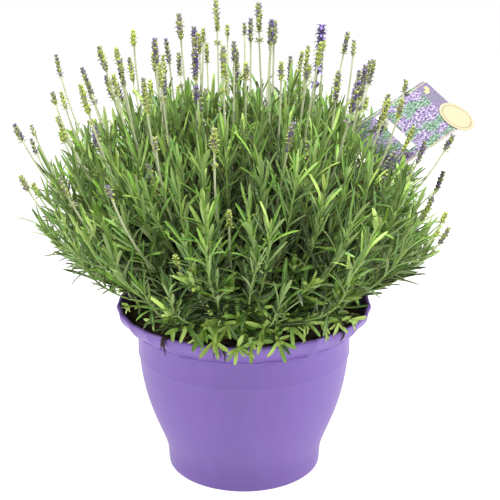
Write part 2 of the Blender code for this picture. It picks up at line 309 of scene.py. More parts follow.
def nodes_by_sector(prefix: str, sectors: int) -> list[list[str]]:
    """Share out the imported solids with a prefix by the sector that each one's middle lies in.

    Args:
        prefix: How the names start.
        sectors: The number of sectors.

    Returns:
        For each sector, its solids' names.
    """
    found: list[list[str]] = [[] for _ in range(sectors)]
    for name in nodes_named(prefix):
        low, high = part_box(name)
        found[sector_of((low + high) / 2, sectors)].append(name)
    return found


def keep_piece(obj: Object, nodes: Iterable[str]) -> Object:
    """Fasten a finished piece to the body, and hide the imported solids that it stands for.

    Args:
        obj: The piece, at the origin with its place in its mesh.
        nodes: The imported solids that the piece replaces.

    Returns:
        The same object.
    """
    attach(obj, BODY)
    replaced = tuple(nodes)
    if replaced:
        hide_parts(*replaced)
    LOG.info("%s: %d faces, stands for %d solids", obj.name, len(obj.data.polygons), len(replaced))
    return obj


# ---- Finishes ----


@dataclass(frozen=True)
class Finish:
    """A Principled surface. A subclass adds its own pattern in paint()."""

    name: str
    roughness: float = 0.6
    ior: float = 1.45
    sheen: float = 0.0
    subsurface: float = 0.0
    subsurface_reach: float = 0.002

    def make(self) -> Material:
        """The material, made the first time it is asked for.

        Returns:
            The material.
        """
        made = bpy.data.materials.get(self.name)
        if made:
            return made
        made = bpy.data.materials.new(self.name)
        made.use_nodes = True
        shader = made.node_tree.nodes["Principled BSDF"]
        values = {
            "Roughness": self.roughness,
            "IOR": self.ior,
            "Sheen Weight": self.sheen,
            "Subsurface Weight": self.subsurface,
            "Subsurface Scale": self.subsurface_reach,
        }
        for name, value in values.items():
            shader.inputs[name].default_value = value
        self.paint(made.node_tree, shader)
        return made

    def paint(self, tree: NodeTree, shader: Any) -> None:
        """Add the pattern. The plain finish has none."""


@dataclass(frozen=True)
class MouldedPolypropylene(Finish):
    """Injection-moulded polypropylene: an even satin skin with faint flow streaks and dust."""

    colour: str = "#7356A4"
    pale: str = "#886DB7"
    deep: str = "#644896"
    streak_mm: float = 9.0
    pore_mm: float = 0.7

    def paint(self, tree: NodeTree, shader: Any) -> None:
        """Flow streaks run up the wall, and fine pores roughen the skin.

        Args:
            tree: The material's node tree.
            shader: Its Principled node.
        """
        place = add_node(tree, PLACE).outputs["Object"]
        stretched = add_node(
            tree,
            "ShaderNodeMapping",
            links={"Vector": place, "Scale": (1000 / self.streak_mm,) * 2 + (12.0,)},
        )
        streaks = add_node(tree, NOISE, links={"Vector": stretched, "Scale": 1.0, "Detail": 3.0})
        clouds = add_node(tree, NOISE, links={"Vector": place, "Scale": 14.0, "Detail": 4.0})
        blend = add_node(tree, MIX, NUMBERS, {0: 0.5, 2: streaks, 3: clouds})
        stops = ((0.30, self.deep), (0.50, self.colour), (0.75, self.pale))
        ramp = add_node(tree, RAMP, links={"Fac": blend}, stops=stops)
        toned = add_node(tree, MIX, COLOURS, {0: 0.20, 6: linear(self.colour), 7: ramp})
        tree.links.new(toned.outputs[2], shader.inputs["Base Color"])
        pores = add_node(tree, NOISE, links={"Vector": place, "Scale": 1000 / self.pore_mm, "Detail": 2.0})
        rough = add_node(
            tree,
            MAP_RANGE,
            links={"Value": clouds, "To Min": self.roughness - 0.06, "To Max": self.roughness + 0.10},
        )
        tree.links.new(rough.outputs[0], shader.inputs["Roughness"])
        bump = add_node(tree, BUMP, links={"Height": pores, "Strength": 0.12, "Distance": 0.0002})
        tree.links.new(bump.outputs[0], shader.inputs["Normal"])


@dataclass(frozen=True)
class PeatCompost(Finish):
    """Damp peat compost: near black, crumbly, with brown fibres, and fully rough."""

    dark: str = "#120D0A"
    brown: str = "#3A2A1C"
    pale: str = "#6A5238"
    crumb_mm: float = 2.2

    def paint(self, tree: NodeTree, shader: Any) -> None:
        """Crumbs of three browns with hollows between them.

        Args:
            tree: The material's node tree.
            shader: Its Principled node.
        """
        place = add_node(tree, PLACE).outputs["Object"]
        crumbs = add_node(
            tree, "ShaderNodeTexVoronoi", links={"Vector": place, "Scale": 1000 / self.crumb_mm}
        )
        grain = add_node(tree, NOISE, links={"Vector": place, "Scale": 520.0, "Detail": 5.0})
        tone = add_node(tree, "ShaderNodeSeparateColor", links={"Color": crumbs.outputs["Color"]})
        mixed = add_node(tree, MIX, NUMBERS, {0: 0.45, 2: tone, 3: grain})
        stops = ((0.25, self.dark), (0.62, self.brown), (0.90, self.pale))
        ramp = add_node(tree, RAMP, links={"Fac": mixed}, stops=stops)
        tree.links.new(ramp.outputs["Color"], shader.inputs["Base Color"])
        bump = add_node(tree, BUMP, links={"Height": mixed, "Strength": 0.8, "Distance": 0.0012})
        tree.links.new(bump.outputs[0], shader.inputs["Normal"])


@dataclass(frozen=True)
class StemSkin(Finish):
    """A stem's skin: grey-brown bark at its foot that turns green, or ends purplish on a stalk."""

    foot: str = "#6E5C3E"
    middle: str = "#84A044"
    top: str = "#8FB052"
    ridge: str = "#B4C77C"
    turn: float = 0.42

    def paint(self, tree: NodeTree, shader: Any) -> None:
        """The colour follows the stem's own length, with pale ridges on its four corners.

        Args:
            tree: The material's node tree.
            shader: Its Principled node.
        """
        along = add_node(tree, ATTRIBUTE, {"attribute_name": "along"}).outputs["Fac"]
        around = add_node(tree, ATTRIBUTE, {"attribute_name": "around"}).outputs["Fac"]
        tint = add_node(tree, ATTRIBUTE, {"attribute_name": "tint"}).outputs["Fac"]
        stops = ((0.0, self.foot), (self.turn * 0.55, self.foot), (self.turn, self.middle), (1.0, self.top))
        ramp = add_node(tree, RAMP, links={"Fac": along}, stops=stops)
        angle = add_node(tree, MATH, MULTIPLY, {0: around, 1: 8 * pi})
        wave = add_node(tree, MATH, {"operation": "COSINE"}, {0: angle})
        ridges = add_node(tree, MAP_RANGE, links={"Value": wave, "From Min": 0.2, "To Max": 0.35})
        ridged = add_node(tree, MIX, COLOURS, {0: ridges, 6: ramp, 7: linear(self.ridge)})
        value = add_node(tree, MAP_RANGE, links={"Value": tint, "To Min": 0.75, "To Max": 1.2})
        toned = add_node(tree, HUE, links={"Value": value, "Color": ridged})
        tree.links.new(toned.outputs[0], shader.inputs["Base Color"])


@dataclass(frozen=True)
class LavenderLeaf(Finish):
    """A lavender leaf: satin green with a pale midrib above, and a felted grey-green underside."""

    # Darkest stop: the oldest leaves, and the painted shade deep inside the bush.
    oldest: str = "#0A1905"
    mature: str = "#2C5813"
    fresh: str = "#638F27"
    youngest: str = "#A6C05E"
    rib: str = "#BCD383"
    margin: str = "#B4CC7E"
    felt: str = "#6F8A5C"
    dry: str = "#9A8A4E"
    felt_share: float = 0.30

    def paint(self, tree: NodeTree, shader: Any) -> None:
        """The blade map runs over the top from 0 to 0.5 across, and over the underside from 0.5 to 1.

        Args:
            tree: The material's node tree.
            shader: Its Principled node.
        """
        blade = add_node(tree, ATTRIBUTE, {"attribute_name": "blade"}).outputs["Vector"]
        tint = add_node(tree, ATTRIBUTE, {"attribute_name": "tint"}).outputs["Fac"]
        split = add_node(tree, SPLIT, links={0: blade})
        across, along = split.outputs[0], split.outputs[1]
        place = add_node(tree, PLACE).outputs["Object"]
        mottle = add_node(tree, NOISE, links={"Vector": place, "Scale": 160.0, "Detail": 3.0})
        shift = add_node(tree, MAP_RANGE, links={"Value": mottle, "To Min": -0.16, "To Max": 0.16})
        # The tint holds the leaf's age and, as painted shade, how deep it lies in the bush.
        age_and_shade = add_node(tree, MATH, ADD, {0: tint, 1: shift})
        stops = ((0.0, self.oldest), (0.38, self.mature), (0.70, self.fresh), (1.0, self.youngest))
        green = add_node(tree, RAMP, links={"Fac": age_and_shade}, stops=stops).outputs["Color"]
        # Distance from the midrib: 0 on it, 1 at either edge, on the top side.
        centred = add_node(tree, MATH, {"operation": "SUBTRACT"}, {0: across, 1: 0.25})
        off_rib = add_node(tree, MATH, {"operation": "ABSOLUTE"}, {0: centred})
        under = add_node(tree, MATH, {"operation": "GREATER_THAN"}, {0: across, 1: 0.5})
        # About one leaf in five keeps its grey felt on the upper side too.
        cell = add_node(tree, ATTRIBUTE, {"attribute_name": "cell"}).outputs["Fac"]
        lot = add_node(tree, WHITE_NOISE, {"noise_dimensions": "1D"}, {"W": cell}).outputs["Value"]
        downy = add_node(
            tree, MAP_RANGE, links={"Value": lot, "From Min": 0.80, "From Max": 1.0, "To Max": 0.42}
        )
        felt_below = add_node(tree, MATH, MULTIPLY, {0: under, 1: self.felt_share})
        felted = add_node(tree, MATH, {"operation": "MAXIMUM"}, {0: felt_below, 1: downy})
        # What each coat follows, from and to which value, its share at both, and its colour: the pale
        # midrib, the rolled margins that catch the light, the pale foot, and the dry tip.
        coats = [
            (off_rib.outputs[0], 0.0, 0.06, 0.42, 0.0, self.rib),
            (off_rib.outputs[0], 0.20, 0.24, 0.0, 0.5, self.margin),
            (along, 0.0, 0.30, 0.45, 0.0, self.youngest),
            (along, 0.94, 1.0, 0.0, 0.6, self.dry),
        ]
        shares = []
        for value, low, high, first, last, code in coats:
            span = {"Value": value, "From Min": low, "From Max": high, "To Min": first, "To Max": last}
            shares.append((add_node(tree, MAP_RANGE, SMOOTHLY, span).outputs[0], code))
        # The felt lies over all of them but the dry tip.
        shares.insert(3, (felted.outputs[0], self.felt))
        colour = green
        for share, code in shares:
            mixed = add_node(tree, MIX, COLOURS, {0: share, 6: colour, 7: linear(code)})
            colour = mixed.outputs[2]
        tree.links.new(colour, shader.inputs["Base Color"])
        rough = add_node(tree, MAP_RANGE, links={"Value": under, "To Min": self.roughness, "To Max": 0.85})
        tree.links.new(rough.outputs[0], shader.inputs["Roughness"])


@dataclass(frozen=True)
class CalyxFelt(Finish):
    """The felted cup under each flower: yellow-green at its foot and violet-grey at its teeth."""

    foot: str = "#A6B34C"
    middle: str = "#8D964A"
    mouth: str = "#7F7585"
    dark: str = "#4A3E57"
    bloom: str = "#5A4687"

    def paint(self, tree: NodeTree, shader: Any) -> None:
        """The tint says how violet a spike is, and each cup strays a little from it.

        Args:
            tree: The material's node tree.
            shader: Its Principled node.
        """
        blade = add_node(tree, ATTRIBUTE, {"attribute_name": "blade"}).outputs["Vector"]
        tint = add_node(tree, ATTRIBUTE, {"attribute_name": "tint"}).outputs["Fac"]
        cell = add_node(tree, ATTRIBUTE, {"attribute_name": "cell"}).outputs["Fac"]
        stray = add_node(tree, WHITE_NOISE, {"noise_dimensions": "1D"}, {"W": cell}).outputs["Value"]
        split = add_node(tree, SPLIT, links={0: blade})
        around, along = split.outputs[0], split.outputs[1]
        lift = add_node(tree, MAP_RANGE, links={"Value": stray, "To Min": -0.34, "To Max": 0.34})
        violet = add_node(tree, MATH, ADD, {0: tint, 1: lift})
        reach = add_node(tree, MATH, MULTIPLY_ADD, {0: along, 1: 0.55, 2: -0.26})
        share = add_node(tree, MATH, ADD, {0: violet, 1: reach})
        stops = (
            (0.22, self.foot),
            (0.50, self.middle),
            (0.68, self.mouth),
            (0.88, self.dark),
            (1.0, self.bloom),
        )
        ramp = add_node(tree, RAMP, links={"Fac": share}, stops=stops)
        angle = add_node(tree, MATH, MULTIPLY, {0: around, 1: 16 * pi})
        wave = add_node(tree, MATH, {"operation": "COSINE"}, {0: angle})
        ribs = add_node(
            tree, MAP_RANGE, links={"Value": wave, "From Min": -1.0, "To Min": 0.78, "To Max": 1.15}
        )
        ribbed = add_node(tree, HUE, links={"Value": ribs, "Color": ramp})
        tree.links.new(ribbed.outputs[0], shader.inputs["Base Color"])


@dataclass(frozen=True)
class Petal(Finish):
    """An open corolla: thin violet tissue, deeper in its throat."""

    rim: str = "#8270B4"
    throat: str = "#4C3D7E"

    def paint(self, tree: NodeTree, shader: Any) -> None:
        """The colour deepens from the lobes down into the throat.

        Args:
            tree: The material's node tree.
            shader: Its Principled node.
        """
        blade = add_node(tree, ATTRIBUTE, {"attribute_name": "blade"}).outputs["Vector"]
        along = add_node(tree, SPLIT, links={0: blade}).outputs[1]
        stops = ((0.2, self.throat), (0.9, self.rim))
        ramp = add_node(tree, RAMP, links={"Fac": along}, stops=stops)
        tree.links.new(ramp.outputs["Color"], shader.inputs["Base Color"])


@dataclass(frozen=True)
class PrintedFieldCard(Finish):
    """A laminated card with a printed lavender field: ruled borders, a blank name band, dark earth."""

    blossom: str = "#9C8EAC"
    blossom_deep: str = "#5E5072"
    leaf: str = "#7A9684"
    leaf_deep: str = "#4C6652"
    earth: str = "#23251E"
    sky: str = "#6A5F78"
    line: str = "#A59F72"
    white: str = "#C6C5C2"
    tuft_mm: float = 1.8

    def paint(self, tree: NodeTree, shader: Any) -> None:
        """The card map is 0 to 1 across and along the face; the back lies beyond 1 and stays plain.

        Args:
            tree: The material's node tree.
            shader: Its Principled node.
        """
        card = add_node(tree, ATTRIBUTE, {"attribute_name": "card"}).outputs["Vector"]
        split = add_node(tree, SPLIT, links={0: card})
        across, along = split.outputs[0], split.outputs[1]
        sized = add_node(
            tree,
            "ShaderNodeMapping",
            links={"Vector": card, "Scale": (65 / self.tuft_mm, 60 / self.tuft_mm, 1.0)},
        )
        tufts = add_node(tree, NOISE, links={"Vector": sized, "Scale": 1.0, "Detail": 6.0})
        tufts.inputs["Roughness"].default_value = 0.75
        drifts = add_node(tree, NOISE, links={"Vector": sized, "Scale": 0.14, "Detail": 2.0})
        ramps = []
        for stops in (
            ((0.38, "#2B253A"), (0.47, self.blossom_deep), (0.55, self.blossom), (0.66, "#C9C0D0")),
            ((0.38, "#23321F"), (0.47, self.leaf_deep), (0.57, self.leaf), (0.70, "#AEBFB2")),
        ):
            ramps.append(add_node(tree, RAMP, links={"Fac": tufts}, stops=stops))
        blossoms, leaves = (ramp.outputs["Color"] for ramp in ramps)
        rows = add_node(tree, MAP_RANGE, links={"Value": drifts, "From Min": 0.46, "From Max": 0.54})
        field_colour = add_node(tree, MIX, COLOURS, {0: rows, 6: blossoms, 7: leaves}).outputs[2]
        shaded = add_node(
            tree,
            MAP_RANGE,
            SMOOTHLY,
            {"Value": along, "From Min": 0.08, "From Max": 0.40, "To Min": 0.25, "To Max": 1.0},
        )
        colour = add_node(
            tree, MIX, COLOURS, {0: shaded, 6: linear(self.earth), 7: field_colour}
        ).outputs[2]
        # Printed blocks: middle across, middle along, half width, half length, cover, colour.
        blocks = (
            (0.5, 0.975, 0.6, 0.10, 0.85, self.sky),
            (0.985, 0.5, 0.008, 0.6, 0.9, self.line),
            (0.035, 0.5, 0.007, 0.6, 0.9, self.line),
            (0.46, 0.385, 0.38, 0.042, 1.0, self.white),
            (0.14, 0.95, 0.045, 0.018, 1.0, self.line),
            (0.19, 0.925, 0.035, 0.022, 1.0, self.line),
        )
        for middle_x, middle_y, half_x, half_y, cover, code in blocks:
            inside_x = add_node(tree, MATH, COMPARE, {0: across, 1: middle_x, 2: half_x})
            inside_y = add_node(tree, MATH, COMPARE, {0: along, 1: middle_y, 2: half_y})
            both = add_node(tree, MATH, MULTIPLY, {0: inside_x, 1: inside_y})
            share = add_node(tree, MATH, MULTIPLY, {0: both, 1: cover})
            colour = add_node(tree, MIX, COLOURS, {0: share, 6: colour, 7: linear(code)}).outputs[2]
        back = add_node(tree, MATH, {"operation": "GREATER_THAN"}, {0: across, 1: 1.001})
        colour = add_node(tree, MIX, COLOURS, {0: back, 6: colour, 7: linear(self.white)}).outputs[2]
        tree.links.new(colour, shader.inputs["Base Color"])


@dataclass(frozen=True)
class EmbossedPaper(Finish):
    """Cream coated paper with a ruled ring near its edge and a fine laid grain."""

    ground: str = "#ADA084"
    ink: str = "#7D7150"

    def paint(self, tree: NodeTree, shader: Any) -> None:
        """The card map runs from 0 to 1 over the oval, so a ring has a constant distance in it.

        Args:
            tree: The material's node tree.
            shader: Its Principled node.
        """
        card = add_node(tree, ATTRIBUTE, {"attribute_name": "card"}).outputs["Vector"]
        from_middle = add_node(
            tree, "ShaderNodeVectorMath", {"operation": "DISTANCE"}, {0: card, 1: (0.5, 0.5, 0.0)}
        ).outputs["Value"]
        rings = add_node(tree, MATH, COMPARE, {0: from_middle, 1: 0.41, 2: 0.012}).outputs[0]
        grain = add_node(tree, NOISE, links={"Vector": card, "Scale": 26.0, "Detail": 5.0})
        flecks = add_node(
            tree, MAP_RANGE, links={"Value": grain, "From Min": 0.5, "From Max": 0.7, "To Max": 0.45}
        )
        share = add_node(tree, MATH, {"operation": "MAXIMUM"}, {0: rings, 1: flecks})
        colour = add_node(
            tree, MIX, COLOURS, {0: share, 6: linear(self.ground), 7: linear(self.ink)}
        ).outputs[2]
        tree.links.new(colour, shader.inputs["Base Color"])


class Skin(Enum):
    """Every finish of the object, by the piece that wears it."""

    # A soft satin highlight down the wall, with a little light inside the plastic.
    POT = MouldedPolypropylene("lilac_polypropylene", roughness=0.42, ior=1.49, subsurface=0.05)
    # No shine at all: damp crumbs that only their shadows show.
    COMPOST = PeatCompost("peat_compost", roughness=0.95)
    # Dull grey-brown wood that turns olive where it is young.
    BARK = StemSkin("woody_bark", roughness=0.85, middle="#77693F", top="#80904A", ridge="#9A8B62", turn=0.75)
    # Dry, pale and dull, so that each fibre stands out on the dark peat.
    STRAW = StemSkin(
        "dry_straw", roughness=0.9, foot="#8C7144", middle="#B79C66", top="#6E5230", ridge="#CDB684"
    )
    # Dark and slightly moist, near the compost in tone.
    ROOT = StemSkin(
        "damp_root", roughness=0.8, foot="#1C1512", middle="#2A2019", top="#3A2C20", ridge="#2E241C"
    )
    # A soft green with a downy edge.
    STEM = StemSkin("green_stem", roughness=0.6, sheen=0.1)
    # Green that turns dull purple under the spike.
    STALK = StemSkin(
        "flower_stalk",
        roughness=0.65,
        foot="#6E953A",
        middle="#6F8A3A",
        top="#6A6540",
        ridge="#7C9048",
        turn=0.84,
    )
    # A satin sheen along the blade, green in the young leaves and deep in the old ones, and darker, as
    # painted shade, deep inside the bush.
    LEAF = LavenderLeaf("lavender_leaf", roughness=0.45, ior=1.38, sheen=0.03, subsurface=0.03)
    # Felt that scatters the light, with no highlight.
    CALYX = CalyxFelt("felted_calyx", roughness=0.85, sheen=0.25)
    # Thin and matt, the most violet of all.
    PETAL = Petal("violet_petal", roughness=0.6, sheen=0.1)
    # A print under a film that is too soft for a clear reflection.
    CARD = PrintedFieldCard("laminated_card", roughness=0.7, ior=1.3)
    # Matt cream paper with a faint grain.
    BADGE = EmbossedPaper("coated_paper", roughness=0.7, ior=1.35)
    # White plastic with a broad, soft highlight.
    STAKE = MouldedPolypropylene(
        "white_polypropylene", roughness=0.45, ior=1.49, colour="#E6E3D8", pale="#F1EFE8", deep="#D6D2C4"
    )


# ---- Geometry Nodes ----


@dataclass
class NodeTool:
    """A Geometry Nodes tree, built once, that turns a seed mesh into a finished plain mesh."""

    name: str
    inputs: Sequence[tuple[str, str]]
    wire: Callable[[NodeTree, Any], Any]
    tree: NodeTree | None = None

    def build(self) -> NodeTree:
        """Make the tree with its named inputs.

        Returns:
            The tree, the same one each time.
        """
        if self.tree is None:
            self.tree = bpy.data.node_groups.new(self.name, "GeometryNodeTree")
            face = self.tree.interface
            face.new_socket(name="Geometry", in_out="INPUT", socket_type="NodeSocketGeometry")
            face.new_socket(name="Geometry", in_out="OUTPUT", socket_type="NodeSocketGeometry")
            for name, kind in self.inputs:
                face.new_socket(name=name, in_out="INPUT", socket_type="NodeSocket" + kind)
            entry = add_node(self.tree, "NodeGroupInput")
            add_node(self.tree, "NodeGroupOutput", links={"Geometry": self.wire(self.tree, entry.outputs)})
        return self.tree

    def run(self, name: str, seed: Mesh, **values: Any) -> Object:
        """Run the tree on a seed mesh.

        Args:
            name: The finished piece's name.
            seed: The mesh of points or edges that the tree starts from.
            values: The tree's inputs, by name with underscores for spaces.

        Returns:
            The finished object, at the origin, with a plain mesh.
        """
        tree = self.build()
        holder = new_object(name + "_seed", seed)
        modifier = holder.modifiers.new(self.name, "NODES")
        modifier.node_group = tree
        for item in tree.interface.items_tree:
            key = item.name.replace(" ", "_")
            if item.in_out == "INPUT" and key in values:
                modifier[item.identifier] = values[key]
        mesh = evaluated_mesh(holder)
        mesh.name = name
        while mesh.materials and mesh.materials[0] is None:
            mesh.materials.pop(index=0)
        drop(holder)
        return new_object(name, mesh)


def cell_corner(tree: NodeTree, cells: Any, across: Any, along: Any) -> Any:
    """Wire the bake map: each copy's own surface shrunk into its own cell of a square grid.

    Args:
        tree: The geometry tree.
        cells: The output with the number of cells along one side of the grid.
        across: The output with the surface's first coordinate, from 0 to 1.
        along: The output with its second one.

    Returns:
        The output with the place in the map.
    """
    cell = add_node(tree, NAMED, NUMBERS, {"Name": "cell"}).outputs["Attribute"]
    row = add_node(tree, MATH, DIVIDE, {0: cell, 1: cells})
    floor = add_node(tree, MATH, {"operation": "FLOOR"}, {0: row})
    column = add_node(tree, MATH, {"operation": "MODULO"}, {0: cell, 1: cells})
    sums = []
    for share, number in ((across, column), (along, floor)):
        inset = add_node(tree, MATH, MULTIPLY_ADD, {0: share, 1: 0.88, 2: 0.06})
        total = add_node(tree, MATH, ADD, {0: inset, 1: number})
        sums.append(add_node(tree, MATH, DIVIDE, {0: total, 1: cells}))
    return add_node(
        tree, "ShaderNodeCombineXYZ", links={0: sums[0].outputs[0], 1: sums[1].outputs[0]}
    ).outputs[0]


def wire_sweep(tree: NodeTree, inputs: Any) -> Any:
    """Wire the sweep: each polyline of the seed becomes a round stem of its stored radius.

    Args:
        tree: The geometry tree.
        inputs: The tree's inputs.

    Returns:
        The output with the finished stems.
    """
    lines = add_node(tree, "GeometryNodeMeshToCurve", links={"Mesh": inputs["Geometry"]})
    share = add_node(tree, "GeometryNodeSplineParameter").outputs["Factor"]
    radius, around, along = (
        add_node(tree, NAMED, NUMBERS, {"Name": name}).outputs["Attribute"]
        for name in ("radius", "around", "along")
    )
    marked = add_node(
        tree,
        STORE,
        {"data_type": "FLOAT", "domain": "POINT"},
        {"Geometry": lines, "Name": "along", "Value": share},
    )
    # An open circle whose ends meet, so that the map round the stem runs from 0 to 1 with a seam.
    ring = add_node(
        tree,
        "GeometryNodeCurveArc",
        {"mode": "RADIUS"},
        {"Resolution": inputs["Sides"], "Radius": 1.0, "Start Angle": 0.0, "Sweep Angle": tau},
    )
    turned = add_node(
        tree,
        STORE,
        {"data_type": "FLOAT", "domain": "POINT"},
        {"Geometry": ring, "Name": "around", "Value": share},
    )
    swept = add_node(
        tree, "GeometryNodeCurveToMesh", links={"Curve": marked, "Profile Curve": turned, "Scale": radius}
    )
    mapped = add_node(
        tree,
        STORE,
        {"data_type": "FLOAT2", "domain": "CORNER"},
        {"Geometry": swept, "Name": BAKE_MAP, "Value": cell_corner(tree, inputs["Cells"], around, along)},
    )
    joined = add_node(
        tree, "GeometryNodeMergeByDistance", links={"Geometry": mapped, "Distance": inputs["Weld"]}
    )
    smooth = add_node(tree, "GeometryNodeSetShadeSmooth", links={"Geometry": joined, "Shade Smooth": True})
    real = add_node(tree, "GeometryNodeRealizeInstances", links={"Geometry": smooth})
    return add_node(
        tree, "GeometryNodeSetMaterial", links={"Geometry": real, "Material": inputs["Material"]}
    ).outputs[0]


def wire_scatter(tree: NodeTree, inputs: Any) -> Any:
    """Wire the scatter: each point of the seed gets its own turned and sized copy of one shape.

    Args:
        tree: The geometry tree.
        inputs: The tree's inputs.

    Returns:
        The output with the finished copies.
    """
    columns = {"shape": "INT", "turn": "QUATERNION", "size": "FLOAT_VECTOR", "blade": "FLOAT_VECTOR"}
    shape, turn, size, surface = (
        add_node(tree, NAMED, {"data_type": kind}, {"Name": name}).outputs["Attribute"]
        for name, kind in columns.items()
    )
    points = add_node(tree, "GeometryNodeMeshToPoints", links={"Mesh": inputs["Geometry"]})
    shapes = add_node(
        tree,
        "GeometryNodeCollectionInfo",
        links={"Collection": inputs["Shapes"], "Separate Children": True, "Reset Children": True},
    )
    copies = add_node(
        tree,
        "GeometryNodeInstanceOnPoints",
        links={
            "Points": points,
            "Instance": shapes,
            "Pick Instance": True,
            "Instance Index": shape,
            "Rotation": turn,
            "Scale": size,
        },
    )
    real = add_node(tree, "GeometryNodeRealizeInstances", links={"Geometry": copies})
    blade = add_node(tree, SPLIT, links={0: surface})
    mapped = add_node(
        tree,
        STORE,
        {"data_type": "FLOAT2", "domain": "CORNER"},
        {
            "Geometry": real,
            "Name": BAKE_MAP,
            "Value": cell_corner(tree, inputs["Cells"], blade.outputs[0], blade.outputs[1]),
        },
    )
    smooth = add_node(tree, "GeometryNodeSetShadeSmooth", links={"Geometry": mapped, "Shade Smooth": True})
    return add_node(
        tree, "GeometryNodeSetMaterial", links={"Geometry": smooth, "Material": inputs["Material"]}
    ).outputs[0]


SWEEP = NodeTool(
    "sweep_stems",
    (("Sides", "Int"), ("Cells", "Float"), ("Weld", "Float"), ("Material", "Material")),
    wire_sweep,
)
SCATTER = NodeTool(
    "scatter_copies", (("Shapes", "Collection"), ("Cells", "Float"), ("Material", "Material")), wire_scatter
)


@dataclass
class Copy:
    """One copy that the scatter sets out."""

    place: Vector
    turn: Matrix
    size: tuple[float, float, float]
    shape: int = 0
    tint: float = 0.5


def facing(along: Vector, face: Vector) -> Matrix:
    """The turn that lays local +Z along one direction with local -X towards another.

    Args:
        along: Where local +Z goes.
        face: What local -X turns towards.

    Returns:
        The turn.
    """
    up = along.normalized()
    front = (face - up * face.dot(up)).normalized()
    side = up.cross(-front)
    return Matrix((-front, side, up)).transposed()


def scatter(name: str, copies: Sequence[Copy], shapes: Collection, skin: Skin) -> Object:
    """Set out copies with the scatter tree.

    Args:
        name: The piece's name.
        copies: Where each copy goes, and how it is turned and sized.
        shapes: The collection of small meshes that the copies share.
        skin: The finish.

    Returns:
        The finished object.
    """
    seed = bpy.data.meshes.new(name + "_points")
    seed.from_pydata([tuple(c.place) for c in copies], [], [])
    columns = {
        "turn": ("QUATERNION", "value", [tuple(c.turn.to_quaternion()) for c in copies]),
        "size": ("FLOAT_VECTOR", "vector", [c.size for c in copies]),
        "shape": ("INT", "value", [c.shape for c in copies]),
        "tint": ("FLOAT", "value", [c.tint for c in copies]),
        "cell": ("FLOAT", "value", list(range(len(copies)))),
    }
    for key, (kind, member, values) in columns.items():
        attribute = seed.attributes.new(key, kind, "POINT")
        attribute.data.foreach_set(member, np.array(values).ravel())
    cells = float(ceil(sqrt(len(copies))))
    return SCATTER.run(name, seed, Shapes=shapes, Cells=cells, Material=skin.value.make())


@dataclass
class Strand:
    """One stem, branch or root: a polyline with a radius at each point."""

    points: Sequence[Vector]
    radii: Sequence[float]
    tint: float = 0.5


def sweep(name: str, strands: Sequence[Strand], skin: Skin, sides: int = 6) -> Object:
    """Sweep strands into stems with the sweep tree.

    Args:
        name: The piece's name.
        strands: The polylines.
        skin: The finish.
        sides: How many flats go round a stem.

    Returns:
        The finished object.
    """
    points, edges, columns = [], [], {"radius": [], "tint": [], "cell": []}
    pinhead = 0.02 * MM
    for number, strand in enumerate(strands):
        # Each end closes in a point, a pinhead beyond the last full ring.
        ends = [(strand.points[0], strand.points[1]), (strand.points[-1], strand.points[-2])]
        caps = [end + (end - inner).normalized() * 0.3 * MM for end, inner in ends]
        line = [caps[0], *strand.points, caps[1]]
        first = len(points)
        points += line
        edges += [(first + i, first + i + 1) for i in range(len(line) - 1)]
        columns["radius"] += [pinhead, *strand.radii, pinhead]
        columns["tint"] += [strand.tint] * len(line)
        columns["cell"] += [float(number)] * len(line)
    seed = bpy.data.meshes.new(name + "_lines")
    seed.from_pydata([tuple(p) for p in points], edges, [])
    for key, values in columns.items():
        seed.attributes.new(key, "FLOAT", "POINT").data.foreach_set("value", values)
    cells = float(ceil(sqrt(len(strands))))
    return SWEEP.run(
        name, seed, Sides=sides + 1, Cells=cells, Weld=2.2 * pinhead, Material=skin.value.make()
    )


def library(name: str, meshes: Sequence[Mesh]) -> Collection:
    """Put small shared meshes in a collection outside the scene, in the order of their names.

    Args:
        name: The collection's name.
        meshes: The small meshes.

    Returns:
        The collection.
    """
    made = bpy.data.collections.new(name)
    for number, mesh in enumerate(meshes):
        made.objects.link(bpy.data.objects.new(f"{name}_{number:02d}", mesh))
    return made


def discard(collection: Collection) -> None:
    """Remove a collection of shared meshes once everything made from it is a plain mesh.

    Args:
        collection: The collection.
    """
    for obj in list(collection.objects):
        drop(obj)
    bpy.data.collections.remove(collection)


# ---- Studio ----


